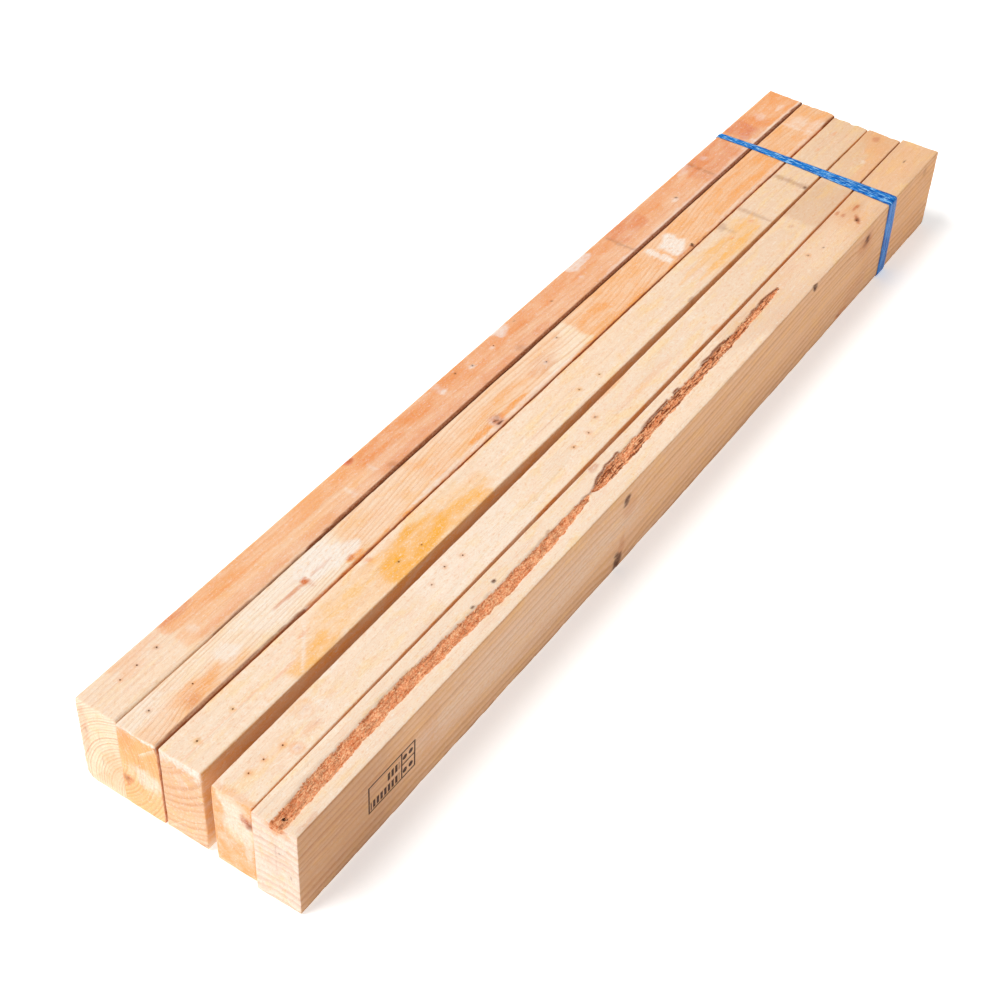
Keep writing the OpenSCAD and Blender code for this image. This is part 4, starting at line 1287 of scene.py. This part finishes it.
# %% Blue plastic
def strap_plastic():
    """Glossy blue tape, paler where a pleat has stretched and whitened it, with painted highlights on the
    crinkles that face up.
    """
    f = Finish("blue_plastic", Specular_IOR_Level=0.12, IOR=1.45)
    spot = f.place()
    streak = f.noise(spot, (2.2, 16, 16), detail=3, rough=0.65)
    crinkle = f.noise(spot, (1.1, 8, 8), detail=3, rough=0.6, twist=0.5)
    blue = f.mix(f.ramp(streak, 0.35, 0.65), colour(0, 70, 158), colour(0, 124, 216))
    blue = f.mix(f.times(f.ramp(f.layer("crest"), 0.5, 1.0), 0.3), blue, colour(40, 160, 238))
    # Painted highlight: pale streaks on the crinkles, strongest where the tape faces up towards the light.
    up = f.parts(add(f.tree, "ShaderNodeNewGeometry").outputs["Normal"])[2]
    white = f.times(f.ramp(crinkle, 0.52, 0.62), f.ramp(streak, 0.36, 0.56),
                    f.ramp(up, 0.2, 0.8, 0.2, 0.9))
    blue = f.mix(white, blue, colour(170, 224, 252))
    rough = f.ramp(crinkle, 0.3, 0.7, 0.25, 0.42)
    return f.join(Base_Color=blue, Roughness=rough, Normal=f.bump(crinkle, 0.3))


finishes["strap"] = strap_plastic()

# %% The strap, laid round the bundle
FOLDS = {"Steps round": 620, "Steps across": 22, "Pleat height": 0.00034, "Crinkle": 0.0003}  # heights in m
SHEET = 0.00012  # m, the wall of the plastic


def laid_strap():
    """The strap as one closed thin sheet round the bundle."""
    piece = place(route_mesh(), "blue_strap")
    run_tree(piece, strap_tree(), {**FOLDS, "Material": finishes["strap"]})
    wall = piece.modifiers.new("wall", "SOLIDIFY")
    wall.thickness = SHEET
    wall.offset = -1.0
    keep_result(piece)
    piece.data.shade_smooth()
    points = vertices(piece.data)
    print(f"strap: {len(piece.data.polygons)} faces, {volume_of(piece.data) * 1000:.2f} ml, box in mm",
          points.min(0).round(2), points.max(0).round(2))
    return piece


pieces["strap"] = laid_strap()

# %% [markdown]
# ## Floor, light and camera
# The bundle lies on a plain pale floor under soft light. One wide lamp stands high at the
# left and a little in front, so tops and near ends are bright and the right side stays in
# warm shade. A second, weak lamp keeps that shade readable. The camera looks down along the
# bundle from its near right corner.

# %% Floor
FLOOR_REACH = 5.0  # m from the middle to each side
FLOOR_GLOW = 0.5


def pale_floor():
    """A flat pale floor that glows a little, so that it stays white under soft light."""
    mesh = bpy.data.meshes.new("floor")
    corners = [(x * FLOOR_REACH, y * FLOOR_REACH, 0) for x, y in ((-1, -1), (1, -1), (1, 1), (-1, 1))]
    mesh.from_pydata(corners, [], [(0, 1, 2, 3)])
    f = Finish("pale_floor", Roughness=0.9, Specular_IOR_Level=0.1)
    soft = f.noise(f.place(), (900, 900, 900), detail=1)
    white = f.mix(soft, (0.86, 0.86, 0.86, 1), (0.9, 0.9, 0.9, 1))
    mesh.materials.append(f.join(Base_Color=white, Emission_Color=white))
    f.shader.inputs["Emission Strength"].default_value = FLOOR_GLOW
    return place(mesh, "floor")


floor = pale_floor()

# %% Light
def lamp(name, towards, strength, spread, tint):
    """A distant soft light that comes from one direction, so both ends are lit alike."""
    data = bpy.data.lights.new(name, "SUN")
    data.energy = strength
    data.angle = math.radians(spread)
    data.color = tint
    light = bpy.data.objects.new(name, data)
    bpy.context.scene.collection.objects.link(light)
    light.rotation_euler = Vector(towards).to_track_quat("Z", "Y").to_euler()


lamp("key", (-0.43, 0.35, 0.83), 3.0, 32, (1.0, 0.99, 0.97))
lamp("fill", (-0.3, -0.85, 0.42), 0.06, 50, (1.0, 0.95, 0.9))

world = bpy.data.worlds.new("studio")
bpy.context.scene.world = world
world.use_nodes = True
sky = world.node_tree.nodes["Background"]
sky.inputs["Color"].default_value = (1, 1, 1, 1)
sky.inputs["Strength"].default_value = 0.35
bpy.context.scene.view_settings.view_transform = "Standard"

# %% Camera
EYE = Vector((-1.062, -0.5805, 1.0737))
AIM = Vector((-0.128, -0.0032, 0.045))
ROLL = 2.95  # degrees
camera_data = bpy.data.cameras.new("camera")
camera_data.lens = 66.73
camera_data.sensor_width = 36
camera_data.clip_end = 50
camera = bpy.data.objects.new("camera", camera_data)
bpy.context.scene.collection.objects.link(camera)
level = (AIM - EYE).to_track_quat("-Z", "Y").to_matrix().to_4x4()
camera.matrix_world = Matrix.Translation(EYE) @ level @ Matrix.Rotation(math.radians(ROLL), 4, "Z")
bpy.context.scene.camera = camera

# %% [markdown]
# ## Tie the pieces to the frame
# The bundle has no joints, so everything rides on its one body. Each carved stud stands
# for its CAD node, and the crumbs ride along with the right stud.

# %% Ride and stand-ins
for node, piece in pieces.items():
    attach(piece, "root")
    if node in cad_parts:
        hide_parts(node)
    tris = sum(len(p.vertices) - 2 for p in piece.data.polygons)
    print(f"{piece.name}: {tris} triangles")

bpy.context.view_layer.update()
